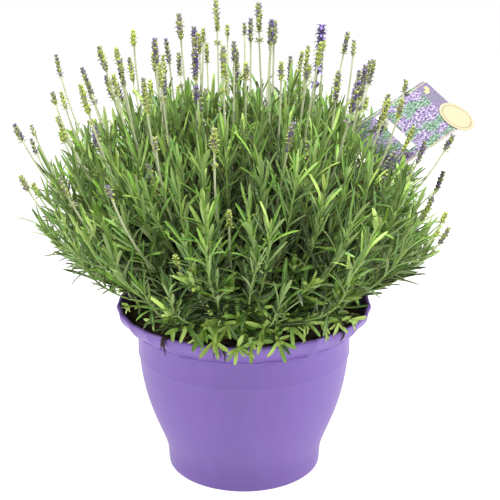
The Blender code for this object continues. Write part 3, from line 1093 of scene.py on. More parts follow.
@dataclass
class Studio:
    """A pale seamless floor, soft daylight-white boxes and the camera."""

    floor_side: float = 14.0
    camera_place: tuple[float, float, float] = (0.006, -1.014, 0.539)
    camera_pitch: float = 72.6
    lens: float = 78.7
    ambient: float = 0.06
    # Name, place, side length, power in watts.
    boxes: tuple[tuple[str, tuple[float, float, float], float, float], ...] = (
        ("left_box", (-1.7, -0.2, 0.8), 1.0, 20.0),
        ("right_box", (1.7, -0.2, 0.8), 1.0, 28.0),
        ("top_box", (0.1, -0.4, 2.0), 0.7, 70.0),
        ("front_box", (-0.3, -2.4, 1.0), 1.2, 14.0),
    )
    aim: Vector = field(default_factory=lambda: Vector((0.0, 0.0, 0.22)))

    def build(self) -> None:
        """Make the floor, the world, the lights and the camera."""
        half = self.floor_side / 2
        corners = [Vector((x * half, y * half, 0.0)) for x, y in ((-1, -1), (1, -1), (1, 1), (-1, 1))]
        floor = new_object("studio_floor", mesh_from("studio_floor", corners, [(0, 1, 2, 3)]))
        paper = bpy.data.materials.new("white_paper")
        paper.use_nodes = True
        shader = paper.node_tree.nodes["Principled BSDF"]
        shader.inputs["Base Color"].default_value = linear("#8C8C8A")
        shader.inputs["Roughness"].default_value = 0.9
        shader.inputs["Emission Color"].default_value = linear("#FFFFFF")
        shader.inputs["Emission Strength"].default_value = 0.965
        dress(floor, paper)

        world = bpy.data.worlds.new("soft_white")
        world.use_nodes = True
        background = world.node_tree.nodes["Background"]
        background.inputs["Color"].default_value = linear("#FBFBFF")
        background.inputs["Strength"].default_value = self.ambient
        bpy.context.scene.world = world

        for name, place, side, power in self.boxes:
            light = bpy.data.lights.new(name, "AREA")
            light.shape = "SQUARE"
            light.size = side
            light.energy = power
            lamp = bpy.data.objects.new(name, light)
            lamp.location = place
            lamp.rotation_euler = (self.aim - Vector(place)).to_track_quat("-Z", "Y").to_euler()
            bpy.context.scene.collection.objects.link(lamp)

        lens = bpy.data.cameras.new("camera")
        lens.lens = self.lens
        lens.clip_end = 100.0
        camera = bpy.data.objects.new("camera", lens)
        camera.location = self.camera_place
        camera.rotation_euler = (radians(self.camera_pitch), 0.0, 0.0)
        bpy.context.scene.collection.objects.link(camera)
        bpy.context.scene.camera = camera
        bpy.context.scene.view_settings.view_transform = "Standard"


# ---- Pot and compost ----


@dataclass
class PotShell:
    """The bell-shaped pot: a turned wall, a faceted rim band, a rolled lip and six drain holes."""

    wall: float = 2.0 * MM
    floor: float = 3.0 * MM
    foot_radius: float = 76.5 * MM
    foot_top: tuple[float, float] = (77.5 * MM, 16 * MM)
    belly_pulls: tuple[tuple[float, float], tuple[float, float]] = ((80 * MM, 38 * MM), (100.5 * MM, 62 * MM))
    bell_top: tuple[float, float] = (104 * MM, 119 * MM)
    step: tuple[float, float] = (104.8 * MM, 120.5 * MM)
    shoulder_top: float = 145.2 * MM
    band_foot: tuple[float, float] = (109.5 * MM, 148.5 * MM)
    lip: float = 2.4 * MM
    bell_steps: int = 22
    band_steps: int = 8
    lip_steps: int = 9
    facets: int = 28
    facet_depth: float = 2.5
    segments: int = 224
    hole_radius: float = 4.5 * MM
    hole_circle: float = 48 * MM
    holes: int = 6
    # Edges sharper than this many degrees stay crisp.
    crease: float = 32.0

    def __post_init__(self) -> None:
        """Read the rim's radius and the pot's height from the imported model."""
        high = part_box("pot")[1]
        self.rim, self.height = high.x, high.z
        self.profile = self.outside()

    def outside(self) -> list[tuple[float, float, float]]:
        """The outer profile from the foot up to the lip.

        Returns:
            Radius, height and how strongly the facets show, from the foot up.
        """
        rim, height = self.rim, self.height
        curve = [Vector((*p, 0)) for p in (self.foot_top, *self.belly_pulls, self.bell_top)]
        bell = [bezier(curve, i / self.bell_steps) for i in range(self.bell_steps + 1)]
        profile = [(self.foot_radius - 1.2 * MM, 0.0, 0.0), (self.foot_radius, 1.2 * MM, 0.0)]
        profile += [(p.x, p.y, 0.0) for p in bell]
        radius, level = self.step
        # The moulded step: a fine shadow line where the shoulder starts.
        profile += [(radius - 0.5 * MM, level - 0.5 * MM, 0.0), (radius + 0.3 * MM, level, 0.0)]
        profile += [(radius + 0.2 * MM, level + 2 * MM, 0.0)]
        profile += [(radius, self.shoulder_top - 3 * MM, 0.0), (radius + 0.6 * MM, self.shoulder_top, 0.2)]
        foot_radius, foot_level = self.band_foot
        # The band overhangs the shoulder a little, with a crisp lower edge: out and up in mm, and facets.
        edge = ((-2.0, -1.4, 0.3), (0.4, -1.2, 1.0), (1.6, 0.0, 1.0), (1.2, 1.4, 1.0))
        profile += [(foot_radius + out * MM, foot_level + up * MM, facets) for out, up, facets in edge]
        lip, flare = self.lip, rim - foot_radius - 1.2 * MM
        for i in range(1, self.band_steps):
            share = i / self.band_steps
            # The band swells out in a full curve and ends upright under the lip.
            radius = foot_radius + 1.2 * MM + flare * sin(pi / 2 * share) ** 0.9
            level = foot_level + 1.4 * MM + share * (height - foot_level - 1.4 * MM - lip)
            profile.append((radius, level, 1.0 - 0.3 * share))
        for i in range(self.lip_steps):
            turn = pi * i / (self.lip_steps - 1)
            profile.append((rim - lip + lip * cos(turn), height - lip + lip * sin(turn), 0.6))
        return profile

    def inside_radius(self, level: float) -> float:
        """The radius of the wall's inner face at a height below the rim band.

        Args:
            level: The height.

        Returns:
            The inner face's radius.
        """
        for (low, bottom, _), (high, top, _) in zip(self.profile[1:], self.profile[2:]):
            if bottom <= level < top:
                return low + (high - low) * (level - bottom) / (top - bottom) - self.wall
        return self.band_foot[0] - self.wall

    def facet(self, angle: float, strength: float) -> float:
        """How much the flats of the band shorten the radius at an angle.

        Args:
            angle: The angle, in radians.
            strength: How strongly the facets show, from 0 to 1.

        Returns:
            The factor on the radius.
        """
        flat = tau / self.facets
        off_middle = (angle + flat / 2) % flat - flat / 2
        return 1.0 - strength * self.facet_depth * (1.0 - cos(flat / 2) / cos(off_middle))

    def build(self) -> Object:
        """Turn the pot, cut its holes and dress it.

        Returns:
            The pot.
        """
        lip_inner = self.profile[-1][0]
        inner = [(lip_inner, self.height - 3 * MM, 0.0)]
        for radius, level, strength in reversed(self.profile[: -self.lip_steps]):
            if level > self.floor + 3 * MM and radius - self.wall < lip_inner:
                inner.append((radius - self.wall, level + 0.6 * MM, strength))
        inner.append((self.foot_radius - self.wall, self.floor + 2 * MM, 0.0))
        inner.append((self.foot_radius - self.wall - 2 * MM, self.floor, 0.0))
        bm = bmesh.new()
        rings = []
        for radius, level, strength in self.profile + inner:
            ring = []
            for i in range(self.segments):
                angle = tau * i / self.segments
                ring.append(bm.verts.new(polar(radius * self.facet(angle, strength), angle, level)))
            rings.append(ring)
        loft(bm, rings)
        pot = new_object("pot_shell", mesh_of_bmesh("pot_shell", bm, self.crease))
        self.cut_holes(pot)
        self.crease_band(pot.data)
        dress(pot, Skin.POT.value.make())
        return keep_piece(pot, ("pot",))

    def crease_band(self, mesh: Mesh) -> None:
        """Keep the ridges between the flats of the band crisp.

        Args:
            mesh: The pot's mesh.
        """
        flat = tau / self.facets
        near = 0.2 * tau / self.segments
        for edge in mesh.edges:
            ends = [mesh.vertices[i].co for i in edge.vertices]
            outside = min(hypot(end.x, end.y) for end in ends) > self.band_foot[0]
            turns = [(atan2(end.y, end.x) + flat / 2) % flat for end in ends]
            if outside and all(min(turn, flat - turn) < near for turn in turns):
                edge.use_edge_sharp = True

    def cut_holes(self, pot: Object) -> None:
        """Cut the round drain holes through the floor.

        Args:
            pot: The pot.
        """
        bm = bmesh.new()
        for i in range(self.holes):
            angle = tau * i / self.holes
            place = polar(self.hole_circle, angle, self.floor / 2)
            bmesh.ops.create_cone(
                bm,
                cap_ends=True,
                segments=32,
                radius1=self.hole_radius,
                radius2=self.hole_radius,
                depth=self.floor * 4,
                matrix=Matrix.Translation(place),
            )
        cutter = new_object("drain_holes", mesh_of_bmesh("drain_holes", bm))
        cut = pot.modifiers.new("drain_holes", "BOOLEAN")
        cut.operation = "DIFFERENCE"
        cut.object = cutter
        drilled = evaluated_mesh(pot)
        pot.modifiers.remove(cut)
        plain, pot.data = pot.data, drilled
        bpy.data.meshes.remove(plain)
        drop(cutter)
        shade(pot.data, self.crease)


@dataclass
class CompostBed:
    """The compost: a plug whose top is a raked, crumbly surface, with loose crumbs and fibres on it."""

    seed: int = 4
    rings: int = 64
    segments: int = 160
    ripple: float = 1.1 * MM
    crumbs: int = 2600
    crumb_sizes: tuple[float, float] = (0.6 * MM, 2.6 * MM)
    fibres: int = 90
    fibre_lengths: tuple[float, float] = (6 * MM, 26 * MM)
    crown_radius: float = 12 * MM
    side_levels: int = 24
    wall_gap: float = 1 * MM

    def __post_init__(self) -> None:
        """Read the plug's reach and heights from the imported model."""
        low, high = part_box("compost")
        self.radius, self.bottom, self.top = high.x, low.z, high.z
        self.edge = self.top - 1.5 * MM
        self.random = random.Random(self.seed)

    def height(self, x: float, y: float) -> float:
        """The surface's height: a low mound with ripples of three sizes.

        Args:
            x: How far right.
            y: How far back.

        Returns:
            The surface's level.
        """
        reach = hypot(x, y) / self.radius
        mound = self.edge + (self.top - 0.8 * MM - self.edge) * (1 - smoothstep(0.25, 1.0, reach))
        waves = sin(x * 310 + 1.3) * cos(y * 270 - 0.4) + 0.6 * sin(x * 710 - y * 530)
        waves += 0.5 * sin(x * 1330 + y * 1170 + 2.1) * cos(y * 1510 - x * 900)
        return mound + self.ripple * 0.5 * waves * (1 - smoothstep(0.9, 1.0, reach))

    def build(self, pot: PotShell) -> list[Object]:
        """Make the bed, its crumbs and its fibres."""
        return [self.build_bed(pot), self.build_crumbs(), self.build_fibres()]

    def build_bed(self, pot: PotShell) -> Object:
        """The closed plug under the surface, just clear of the pot's wall all the way down.

        Args:
            pot: The pot.

        Returns:
            The bed.
        """
        bm = bmesh.new()
        rows = []
        for i in range(1, self.rings + 1):
            radius = (self.radius - 1.5 * MM) * i / self.rings
            row = []
            for j in range(self.segments):
                angle = tau * j / self.segments
                x, y = radius * cos(angle), radius * sin(angle)
                row.append(bm.verts.new((x, y, self.height(x, y))))
            rows.append(row)
        for i in range(self.side_levels + 1):
            level = self.edge + (self.bottom + 1 * MM - self.edge) * i / self.side_levels
            # The narrowest place of the wall near this level keeps the plug inside it.
            narrowest = min(pot.inside_radius(level + near * MM) for near in (-7, -4, -2, 0, 2, 4, 7))
            radius = narrowest - self.wall_gap
            turns = (tau * j / self.segments for j in range(self.segments))
            rows.append([bm.verts.new(polar(radius, turn, level)) for turn in turns])
        middle = bm.verts.new((0, 0, self.height(0, 0)))
        for j in range(self.segments):
            k = (j + 1) % self.segments
            bm.faces.new((middle, rows[0][j], rows[0][k]))
            for inner, outer in zip(rows, rows[1:]):
                bm.faces.new((inner[j], outer[j], outer[k], inner[k]))
        bm.faces.new(list(reversed(rows[-1])))
        bed = new_object("compost_bed", mesh_of_bmesh("compost_bed", bm, 60))
        dress(bed, Skin.COMPOST.value.make())
        return keep_piece(bed, ("compost",))

    def spot(self, reach: float) -> Vector:
        """A random place on the surface, with its azimuth and radius drawn in turn.

        Args:
            reach: The largest radius.

        Returns:
            The place.
        """
        angle = self.random.uniform(0, tau)
        radius = reach * sqrt(self.random.uniform((self.crown_radius / reach) ** 2, 1.0))
        x, y = radius * cos(angle), radius * sin(angle)
        return Vector((x, y, self.height(x, y)))

    def build_crumbs(self) -> Object:
        """Loose crumbs of peat, half sunk in the surface.

        Returns:
            The crumbs.
        """
        shapes = []
        for number in range(4):
            bm = bmesh.new()
            bmesh.ops.create_icosphere(bm, subdivisions=1, radius=0.5)
            for vert in bm.verts:
                vert.co *= self.random.uniform(0.65, 1.25)
            layer = bm.loops.layers.uv.new("blade")
            for face in bm.faces:
                for loop in face.loops:
                    loop[layer].uv = (loop.vert.co.x + 0.5, loop.vert.co.y + 0.5)
            shapes.append(mesh_of_bmesh(f"crumb_{number}", bm, 180))
        shelf = library("crumb", shapes)
        copies = []
        low, high = self.crumb_sizes
        for _ in range(self.crumbs):
            spot = self.spot(self.radius - 4 * MM)
            size = low + (high - low) * self.random.random() ** 3
            pointing = heading(self.random.uniform(0, tau), self.random.uniform(0, pi))
            turn = facing(pointing, Vector((0.3, 0.2, 1)))
            spot.z += size * 0.2
            copies.append(Copy(spot, turn, (size, size, size * 0.8), self.random.randrange(4)))
        crumbs = scatter("compost_crumbs", copies, shelf, Skin.COMPOST)
        discard(shelf)
        return keep_piece(crumbs, ())

    def build_fibres(self) -> Object:
        """Pale fibres and bark slivers that lie on the surface.

        Returns:
            The fibres.
        """
        strands = []
        for _ in range(self.fibres):
            spot = self.spot(self.radius - 16 * MM)
            length = self.random.uniform(*self.fibre_lengths)
            angle = self.random.uniform(0, tau)
            bend = self.random.uniform(-0.5, 0.5)
            points = []
            for i in range(6):
                share = i / 5 - 0.5
                x = spot.x + length * share * cos(angle + bend * share)
                y = spot.y + length * share * sin(angle + bend * share)
                points.append(Vector((x, y, self.height(x, y) + 0.9 * MM + 0.6 * MM * sin(3 * share))))
            radius = self.random.uniform(0.25, 0.8) * MM
            radii = [radius * part for part in (0.6, 1.0, 1.0, 1.0, 0.8, 0.4)]
            strands.append(Strand(points, radii, self.random.random()))
        return keep_piece(sweep("compost_fibres", strands, Skin.STRAW, 5), ())


# ---- The plant ----


class Growth(Enum):
    """What a shoot carries."""

    LEAFY = "leafy"
    FLOWERING = "flowering"
    SIDE = "side"
    TRAILING = "trailing"


@dataclass
class Shoot:
    """One shoot: its curve from the crown, and how much of it bears leaves."""

    curve: tuple[Vector, Vector, Vector, Vector]
    growth: Growth
    leafy_from: float
    leafy_to: float
    leaf_length: float
    tint: float
    spike_length: float = 0.0
    violet: float = 0.5
    open_share: float = 0.0

    def length(self) -> float:
        """The curve's length, from twelve chords."""
        points = [bezier(self.curve, i / 12) for i in range(13)]
        return sum((b - a).length for a, b in zip(points, points[1:]))


@dataclass
class Bush:
    """The plan of the whole plant: where every shoot starts, leans and ends.

    Shoots fill a dome. Its height falls away from the middle first slowly and then steeply, for the
    flowers and, 82 mm lower, for the leaves.
    """

    seed: int = 11
    flower_top: float = 449 * MM
    leaf_top: float = 367 * MM
    fall: float = 1.0
    steep_fall: float = 40.0
    widest: float = 205 * MM
    crown_level: float = 166 * MM
    crown_reach: float = 30 * MM
    leafy_count: int = 200
    inner_count: int = 66
    low_count: int = 84
    trailing_count: int = 34
    flowering_count: int = 106
    label_room: float = 46 * MM
    # The middle azimuths, in degrees, of the gaps in the low growth, where the compost shows.
    gaps: tuple[float, ...] = (217.0, 331.0)
    # Azimuth in degrees, reach and level of the tip, and leaf length, in mm, of the shoots over the rim.
    over_rim: tuple[tuple[float, float, float, float], ...] = (
        (192, 118, 188, 15),
        (208, 121, 184, 13),
        (228, 122, 183, 15),
        (239, 121, 188, 30),
        (247, 124, 190, 32),
        (254, 128, 186, 33),
        (259, 134, 180, 30),
        (264, 128, 192, 36),
        (268, 137, 176, 29),
        (273, 135, 179, 31),
        (278, 129, 190, 35),
        (283, 134, 180, 29),
        (290, 125, 190, 32),
        (297, 122, 189, 30),
        (304, 128, 186, 26),
        (311, 130, 184, 25),
        (318, 131, 183, 22),
        (352, 124, 190, 26),
        (60, 122, 185, 24),
        (118, 124, 185, 24),
        (160, 120, 186, 26),
    )
    shoots: list[Shoot] = field(default_factory=list)

    def __post_init__(self) -> None:
        """Start the source of the small differences."""
        self.draw = random.Random(self.seed)

    def dome(self, top: float, reach: float) -> float:
        """The height of a dome at a distance from its middle."""
        return top - self.fall * reach**2 - self.steep_fall * reach**4

    def curve_to(self, azimuth: float, tip: Vector, droop: float = 0.45) -> tuple[Vector, ...]:
        """A curve that leaves the crown outwards and turns up to its tip.

        Args:
            azimuth: The direction in which it leaves the crown.
            tip: Where it ends.
            droop: Its lean at the tip as a share of its straight lean.

        Returns:
            The four control points.
        """
        reach = hypot(tip.x, tip.y)
        start_reach = min(self.crown_reach, 6 * MM + reach * 0.16 + self.draw.uniform(0, 6) * MM)
        turn = azimuth + self.draw.uniform(-0.25, 0.25)
        level = self.crown_level + 12 * MM * (
            1 - start_reach / self.crown_reach
        ) + self.draw.uniform(-2, 4) * MM
        start = polar(start_reach, turn, level)
        chord = tip - start
        lean = atan2(hypot(chord.x, chord.y), chord.z)
        out = atan2(chord.y, chord.x)
        first = min(lean + radians(13 + self.draw.uniform(-5, 7)), radians(76))
        last = lean * droop + radians(self.draw.uniform(-6, 6))
        pull = chord.length * 0.38
        last_turn = out + self.draw.uniform(-0.35, 0.35)
        return (start, start + heading(out, first) * pull, tip - heading(last_turn, last) * pull, tip)

    def plan(self) -> "Bush":
        """Lay out every shoot.

        Returns:
            The bush itself.
        """
        self.plan_leafy()
        self.plan_low()
        self.plan_flowering()
        self.plan_marked()
        return self

    def plan_leafy(self) -> None:
        """Leafy shoots over the dome, and shorter ones that fill it."""
        for layer, count, drop in ((0, self.leafy_count, (0, 26)), (1, self.inner_count, (45, 110))):
            for i in range(count):
                reach = self.widest * 0.95 * sqrt((i + 0.5) / count)
                azimuth = i * GOLDEN_TURN + layer * 1.1 + self.draw.uniform(-0.15, 0.15)
                reach *= self.draw.uniform(0.92, 1.04)
                level = self.dome(self.leaf_top, reach) - self.draw.uniform(*drop) * MM
                level = max(level, 216 * MM + self.draw.uniform(0, 16) * MM)
                level -= self.label_dip(reach * cos(azimuth), reach * sin(azimuth))
                tip = Vector((self.tucked(reach * cos(azimuth)), reach * sin(azimuth), level))
                tip.z = max(level, self.underside(tip) + 20 * MM)
                curve = self.curve_to(azimuth, tip)
                # Painted shade: the inner shoots that fill the dome get a darker tint.
                tint = self.draw.uniform(0.1, 0.8) * (1 - 0.6 * layer)
                self.shoots.append(
                    Shoot(curve, Growth.LEAFY, 0.20, 1.0, self.draw.uniform(36, 52) * MM, tint)
                )

    def tucked(self, x: float) -> float:
        """The leafy growth spreads less on the right: the x of a tip there is drawn in."""
        return x - 0.45 * max(0.0, x - 140 * MM)

    def label_dip(self, x: float, y: float) -> float:
        """How much lower the shoots stay in front of the plant label."""
        beside = 1 - smoothstep(25 * MM, 85 * MM, abs(y + 20 * MM))
        return self.label_room * smoothstep(85 * MM, 135 * MM, x) * beside

    def plan_low(self) -> None:
        """Side shoots that spread over the rim all the way round, and short ones that trail on it."""
        for i in range(self.low_count):
            azimuth = i * GOLDEN_TURN + 0.4
            front = 0.5 - 0.5 * sin(azimuth)
            side = abs(cos(azimuth))
            reach = self.draw.uniform(120, 178) * MM - 26 * MM * front * self.draw.random()
            level = self.draw.uniform(202, 250) * MM - 14 * MM * front * (1 - side) + 26 * MM * side
            level += 40 * MM * self.in_gap(azimuth)
            tip = Vector((self.tucked(reach * cos(azimuth)), reach * sin(azimuth), level))
            curve = self.curve_above(azimuth, tip, 0.5 + 0.45 * front * (1 - side))
            shoot = Shoot(
                curve, Growth.SIDE, 0.34, 1.0, self.draw.uniform(26, 38) * MM, self.draw.uniform(0.2, 0.85)
            )
            shoot.leafy_from += 0.22 * side
            self.shoots.append(shoot)
        for i in range(self.trailing_count):
            azimuth = i * GOLDEN_TURN + 0.9
            reach = self.draw.uniform(80, 104) * MM
            reach *= 1 - 0.35 * self.in_gap(azimuth)
            level = self.draw.uniform(178, 190) * MM
            self.add_trailing(azimuth, reach, level)
        for azimuth, reach, level, leaf_length in self.over_rim:
            self.add_trailing(radians(azimuth), reach * MM, level * MM, leaf_length * MM)

    def in_gap(self, azimuth: float) -> float:
        """How far an azimuth lies inside a gap of the low growth: 1 in its middle, 0 outside it."""
        off_middle = min(abs((degrees(azimuth) - gap + 180) % 360 - 180) for gap in self.gaps)
        return 1 - smoothstep(14, 30, off_middle)

    def underside(self, place: Vector) -> float:
        """The lowest level for a leaf of an upright shoot: it rises outside the rim and over the gaps.

        Args:
            place: The place.

        Returns:
            The level.
        """
        reach = hypot(place.x, place.y)
        beyond = 0.36 * max(0.0, reach - 125 * MM) + 15 * max(0.0, reach - 160 * MM) ** 2
        opened = 32 * MM * self.in_gap(atan2(place.y, place.x)) * smoothstep(45 * MM, 115 * MM, reach)
        return 172 * MM + beyond + opened

    def depth(self, place: Vector) -> float:
        """How deep a place lies in the bush: 1 round its middle, 0 near its surface.

        Args:
            place: The place.

        Returns:
            The depth, from 0 to 1.
        """
        across = hypot(place.x, place.y) / (0.83 * self.widest)
        up = (place.z - self.crown_level) / (self.leaf_top - self.crown_level)
        return 1 - smoothstep(0.56, 0.98, hypot(across, up))

    def curve_above(self, azimuth: float, tip: Vector, droop: float) -> tuple[Vector, ...]:
        """A curve to a tip that is raised until the curve stays above the bush's underside.

        Args:
            azimuth: The direction in which it leaves the crown.
            tip: Where it should end; its level may rise.
            droop: Its lean at the tip as a share of its straight lean.

        Returns:
            The four control points.
        """
        for _ in range(12):
            curve = self.curve_to(azimuth, tip, droop)
            points = [bezier(curve, t / 8) for t in range(4, 9)]
            if all(point.z > self.underside(point) + 6 * MM for point in points):
                break
            tip = tip + Vector((0, 0, 8 * MM))
        return curve

    def add_trailing(self, azimuth: float, reach: float, level: float, leaf_length: float = 0.0) -> None:
        """Add one short shoot that lies low over the compost, with its tip at a place near the rim.

        Args:
            azimuth: The direction of its tip.
            reach: The tip's distance from the middle.
            level: The tip's height.
            leaf_length: Its leaves' length, or 0 for a drawn one.
        """
        tip = polar(reach, azimuth, level)
        curve = self.curve_to(azimuth, tip, 1.0)
        shoot = Shoot(
            curve, Growth.TRAILING, 0.45, 1.0, self.draw.uniform(21, 31) * MM, self.draw.uniform(0.25, 0.8)
        )
        if leaf_length:
            shoot.leaf_length = leaf_length
            # Partly their own fresh green, partly painted light: the listed shoots over the rim get a lighter
            # tint where the dome above shades them.
            shoot.tint = self.draw.uniform(0.45, 0.95)
        self.shoots.append(shoot)

    def plan_flowering(self) -> None:
        """Flowering stalks that rise out of the dome."""
        for i in range(self.flowering_count):
            share = (i + 0.5) / self.flowering_count
            reach = 200 * MM * share**0.47
            azimuth = i * GOLDEN_TURN + 2.0
            reach *= self.draw.uniform(0.94, 1.05)
            drop = abs(self.draw.gauss(0, 24)) * MM
            if sin(azimuth) * reach < -100 * MM and self.draw.random() < 0.65:
                continue
            level = self.dome(self.flower_top, reach) - drop - 4 * MM
            level -= self.label_dip(reach * cos(azimuth), reach * sin(azimuth))
            self.add_flower(polar(reach, azimuth, level))

    def add_flower(self, tip: Vector, length: float = 0.0, violet: float = -1.0) -> None:
        """Add one flowering stalk.

        Args:
            tip: The top of its spike.
            length: The spike's length, or 0 for a drawn one.
            violet: How violet the spike is, or less than 0 for a drawn one.
        """
        curve = self.curve_to(atan2(tip.y, tip.x), tip, 0.42)
        spike = length or min(36, max(11, self.draw.gauss(19, 6))) * MM
        rise = tip.z - self.dome(self.leaf_top, hypot(tip.x, tip.y)) + 14 * MM
        stalk_length = (curve[3] - curve[0]).length * 1.03
        leafy_to = min(0.9, max(0.35, 1 - max(rise, spike + 22 * MM) / stalk_length))
        mood = min(0.62, self.draw.gauss(0.40, 0.18)) if violet < 0 else violet
        shoot = Shoot(
            curve,
            Growth.FLOWERING,
            0.30,
            leafy_to,
            self.draw.uniform(32, 46) * MM,
            self.draw.uniform(0.3, 0.8),
        )
        shoot.spike_length = spike
        shoot.violet = min(1.0, max(0.0, mood))
        shoot.open_share = 0.4 if violet > 0.75 else 0.0
        self.shoots.append(shoot)

    def plan_marked(self) -> None:
        """Stalks that stand out from the rest: x, y, z, spike length in mm, and how violet."""
        marked = (
            (72, 10, 432, 42, 0.8),
            (-176, 20, 405, 20, 0.55),
            (-212, -10, 344, 16, 0.55),
            (-205, -30, 300, 15, 0.4),
            (-196, -20, 290, 13, 0.2),
            (-204, 20, 325, 15, 0.55),
            (198, 10, 330, 15, 0.5),
            (190, -20, 262, 10, 0.1),
            (182, -30, 248, 8, 0.1),
            (-60, 20, 442, 22, 0.45),
            (-26, 30, 454, 26, 0.3),
            (14, 20, 452, 24, 0.45),
            (0, -60, 355, 24, 0.35),
            (-11, -150, 300, 16, 0.1),
            (-80, -110, 330, 28, 0.35),
            (56, -90, 345, 24, 0.3),
            (90, -130, 285, 14, 0.3),
            (-56, -150, 262, 12, 0.0),
            (-42, -155, 255, 12, 0.0),
            (120, 30, 398, 18, 0.5),
            (98, 30, 424, 18, 0.45),
        )
        for x, y, z, length, violet in marked:
            self.add_flower(Vector((x, y, z)) * MM, length * MM, violet)


@dataclass
class Woodwork:
    """The woody crown: a short stump and the old branches that the shoots grow from."""

    seed: int = 8
    stump_radius: float = 11 * MM
    branch_count: int = 46
    # Each group's azimuth in degrees and its number of roots.
    root_groups: tuple[tuple[float, int], ...] = ((236, 3), (261, 2), (266, 2), (313, 1), (24, 2), (140, 3))

    def build(self) -> list[Object]:
        """Make the crown's branches and the roots that hang over the rim."""
        return [self.build_branches(), self.build_roots()]

    def build_roots(self) -> Object:
        """Dark thread roots that lie on the compost and hang over the lip, in a few loose groups.

        Returns:
            The roots.
        """
        draw = random.Random(self.seed + 1)
        pot_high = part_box("pot")[1]
        rim, top = pot_high.x, pot_high.z
        strands = []
        for azimuth, count in self.root_groups:
            for _ in range(count):
                turn = radians(azimuth + draw.uniform(-2.5, 2.5))
                hang = draw.uniform(7, 18) * MM
                line = (
                    (rim - 22 * MM, top - 9 * MM),
                    (rim - 12 * MM, top - 2 * MM),
                    (rim - 3 * MM, top + 1.2 * MM),
                    (rim + 1.4 * MM, top - 1 * MM),
                    (rim + 0.2 * MM, top - 1 * MM - hang * 0.5),
                    (rim - 2.5 * MM + 0.6 * hang * 0.2, top - 1 * MM - hang),
                )
                points = []
                for reach, level in line:
                    points.append(polar(reach, turn, level))
                    turn += draw.uniform(-0.022, 0.022)
                thick = draw.uniform(0.5, 1.2) * MM
                radii = [thick * part for part in (1.4, 1.2, 0.8, 1.2, 0.9, 0.4)]
                strands.append(Strand(points, radii, draw.random()))
        return keep_piece(sweep("hanging_roots", strands, Skin.ROOT, 6), ())

    def build_branches(self) -> Object:
        """The stump and the old branches, as one piece.

        Returns:
            The branches.
        """
        draw = random.Random(self.seed)
        low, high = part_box("woody_crown")
        tall = high.z - low.z
        trunk = [Vector((MM * sin(i * 2.1), MM * cos(i * 1.7), low.z + tall * i / 5)) for i in range(6)]
        swell = (0.7, 0.9, 1.0, 1.0, 0.8, 0.35)
        strands = [Strand(trunk, [self.stump_radius * part for part in swell], 0.4)]
        for i in range(self.branch_count):
            azimuth = i * GOLDEN_TURN
            reach = (0.35 + 0.65 * sqrt((i + 0.5) / self.branch_count)) * (high.x - 1 * MM)
            rise = draw.uniform(6, 22) * MM * (1.3 - reach / high.x)
            start = polar(0.3 * self.stump_radius, azimuth, low.z + tall * 0.45)
            tip = polar(reach, azimuth, low.z + tall * 0.62 + rise)
            bow = heading(azimuth, radians(75)) * (tip - start).length * 0.5
            curve = (start, start + bow, tip - Vector((0, 0, rise * 0.6)), tip)
            points = [bezier(curve, t / 9) for t in range(10)]
            thick = draw.uniform(1.6, 3.4) * MM
            radii = [thick * (1.0 - 0.055 * t) * (1 + 0.12 * sin(t * 2.3 + i)) for t in range(10)]
            strands.append(Strand(points, radii, draw.random()))
        return keep_piece(sweep("crown_branches", strands, Skin.BARK, 9), ("woody_crown",))


@dataclass
class LeafShape:
    """A narrow leaf of unit length along +Z, with its face to -X: a folded blade with a blunt tip."""

    bow: float
    twist: float
    fold: float
    rows: int = 7

    def level(self, row: int) -> float:
        """The share of the length at a row: the rows crowd towards the blunt tip."""
        return 1.0 - (1.0 - row / self.rows) ** 1.5

    def width(self, share: float) -> float:
        """Half the blade's width, as a share of the full width, at a share of its length.

        Args:
            share: The share of the length.

        Returns:
            Half the width.
        """
        swelling = 0.30 + 0.70 * smoothstep(0.0, 0.55, share)
        past_widest = max(0.0, share - 0.55) / 0.45
        return 0.5 * swelling * sqrt(max(0.0, 1 - past_widest**2.6))

    def build(self, name: str) -> Mesh:
        """Make the blade, with X and Y in leaf widths and Z in leaf lengths.

        Args:
            name: The mesh's name.

        Returns:
            A closed mesh with the "blade" map.
        """
        points: list[Vector] = []
        for row in range(self.rows):
            share = self.level(row)
            half = self.width(share)
            turn = self.twist * share
            centre = Vector((self.bow * (share**2) * 4.0, 0.0, share * (1 - 0.04 * abs(self.bow))))
            lift = self.fold * half
            thick = 0.10 * (1 - share) + 0.05
            # Left edge, midrib on the face, right edge, midrib on the back.
            for across, depth in ((-half, -lift), (0.0, 0.0), (half, -lift), (0.0, thick + 0.03)):
                x = depth * cos(turn) - across * sin(turn)
                y = depth * sin(turn) + across * cos(turn)
                points.append(centre + Vector((x, y, 0.0)))
        tip = len(points)
        points.append(Vector((self.bow * 4.0, 0.0, 1.0 - 0.04 * abs(self.bow))))
        faces, maps = [], []
        # Each strip runs from one corner of the section to the next, and its map between two values.
        strips = ((0, 1, 0.02, 0.25), (1, 2, 0.25, 0.48), (2, 3, 0.52, 0.75), (3, 0, 0.75, 0.98))
        for a, b, first, second in strips:
            for row in range(self.rows - 1):
                low, high = row * 4, row * 4 + 4
                start, end = self.level(row), self.level(row + 1)
                faces.append((low + a, high + a, high + b, low + b))
                maps.append([(first, start), (first, end), (second, end), (second, start)])
            low = (self.rows - 1) * 4
            start = self.level(self.rows - 1)
            faces.append((low + a, tip, low + b))
            maps.append([(first, start), ((first + second) / 2, 1.0), (second, start)])
        faces.append((0, 1, 2, 3))
        maps.append([(0.52, 0.0), (0.6, 0.0), (0.7, 0.0), (0.8, 0.0)])
        return mesh_from(name, points, faces, maps, "blade", 75)


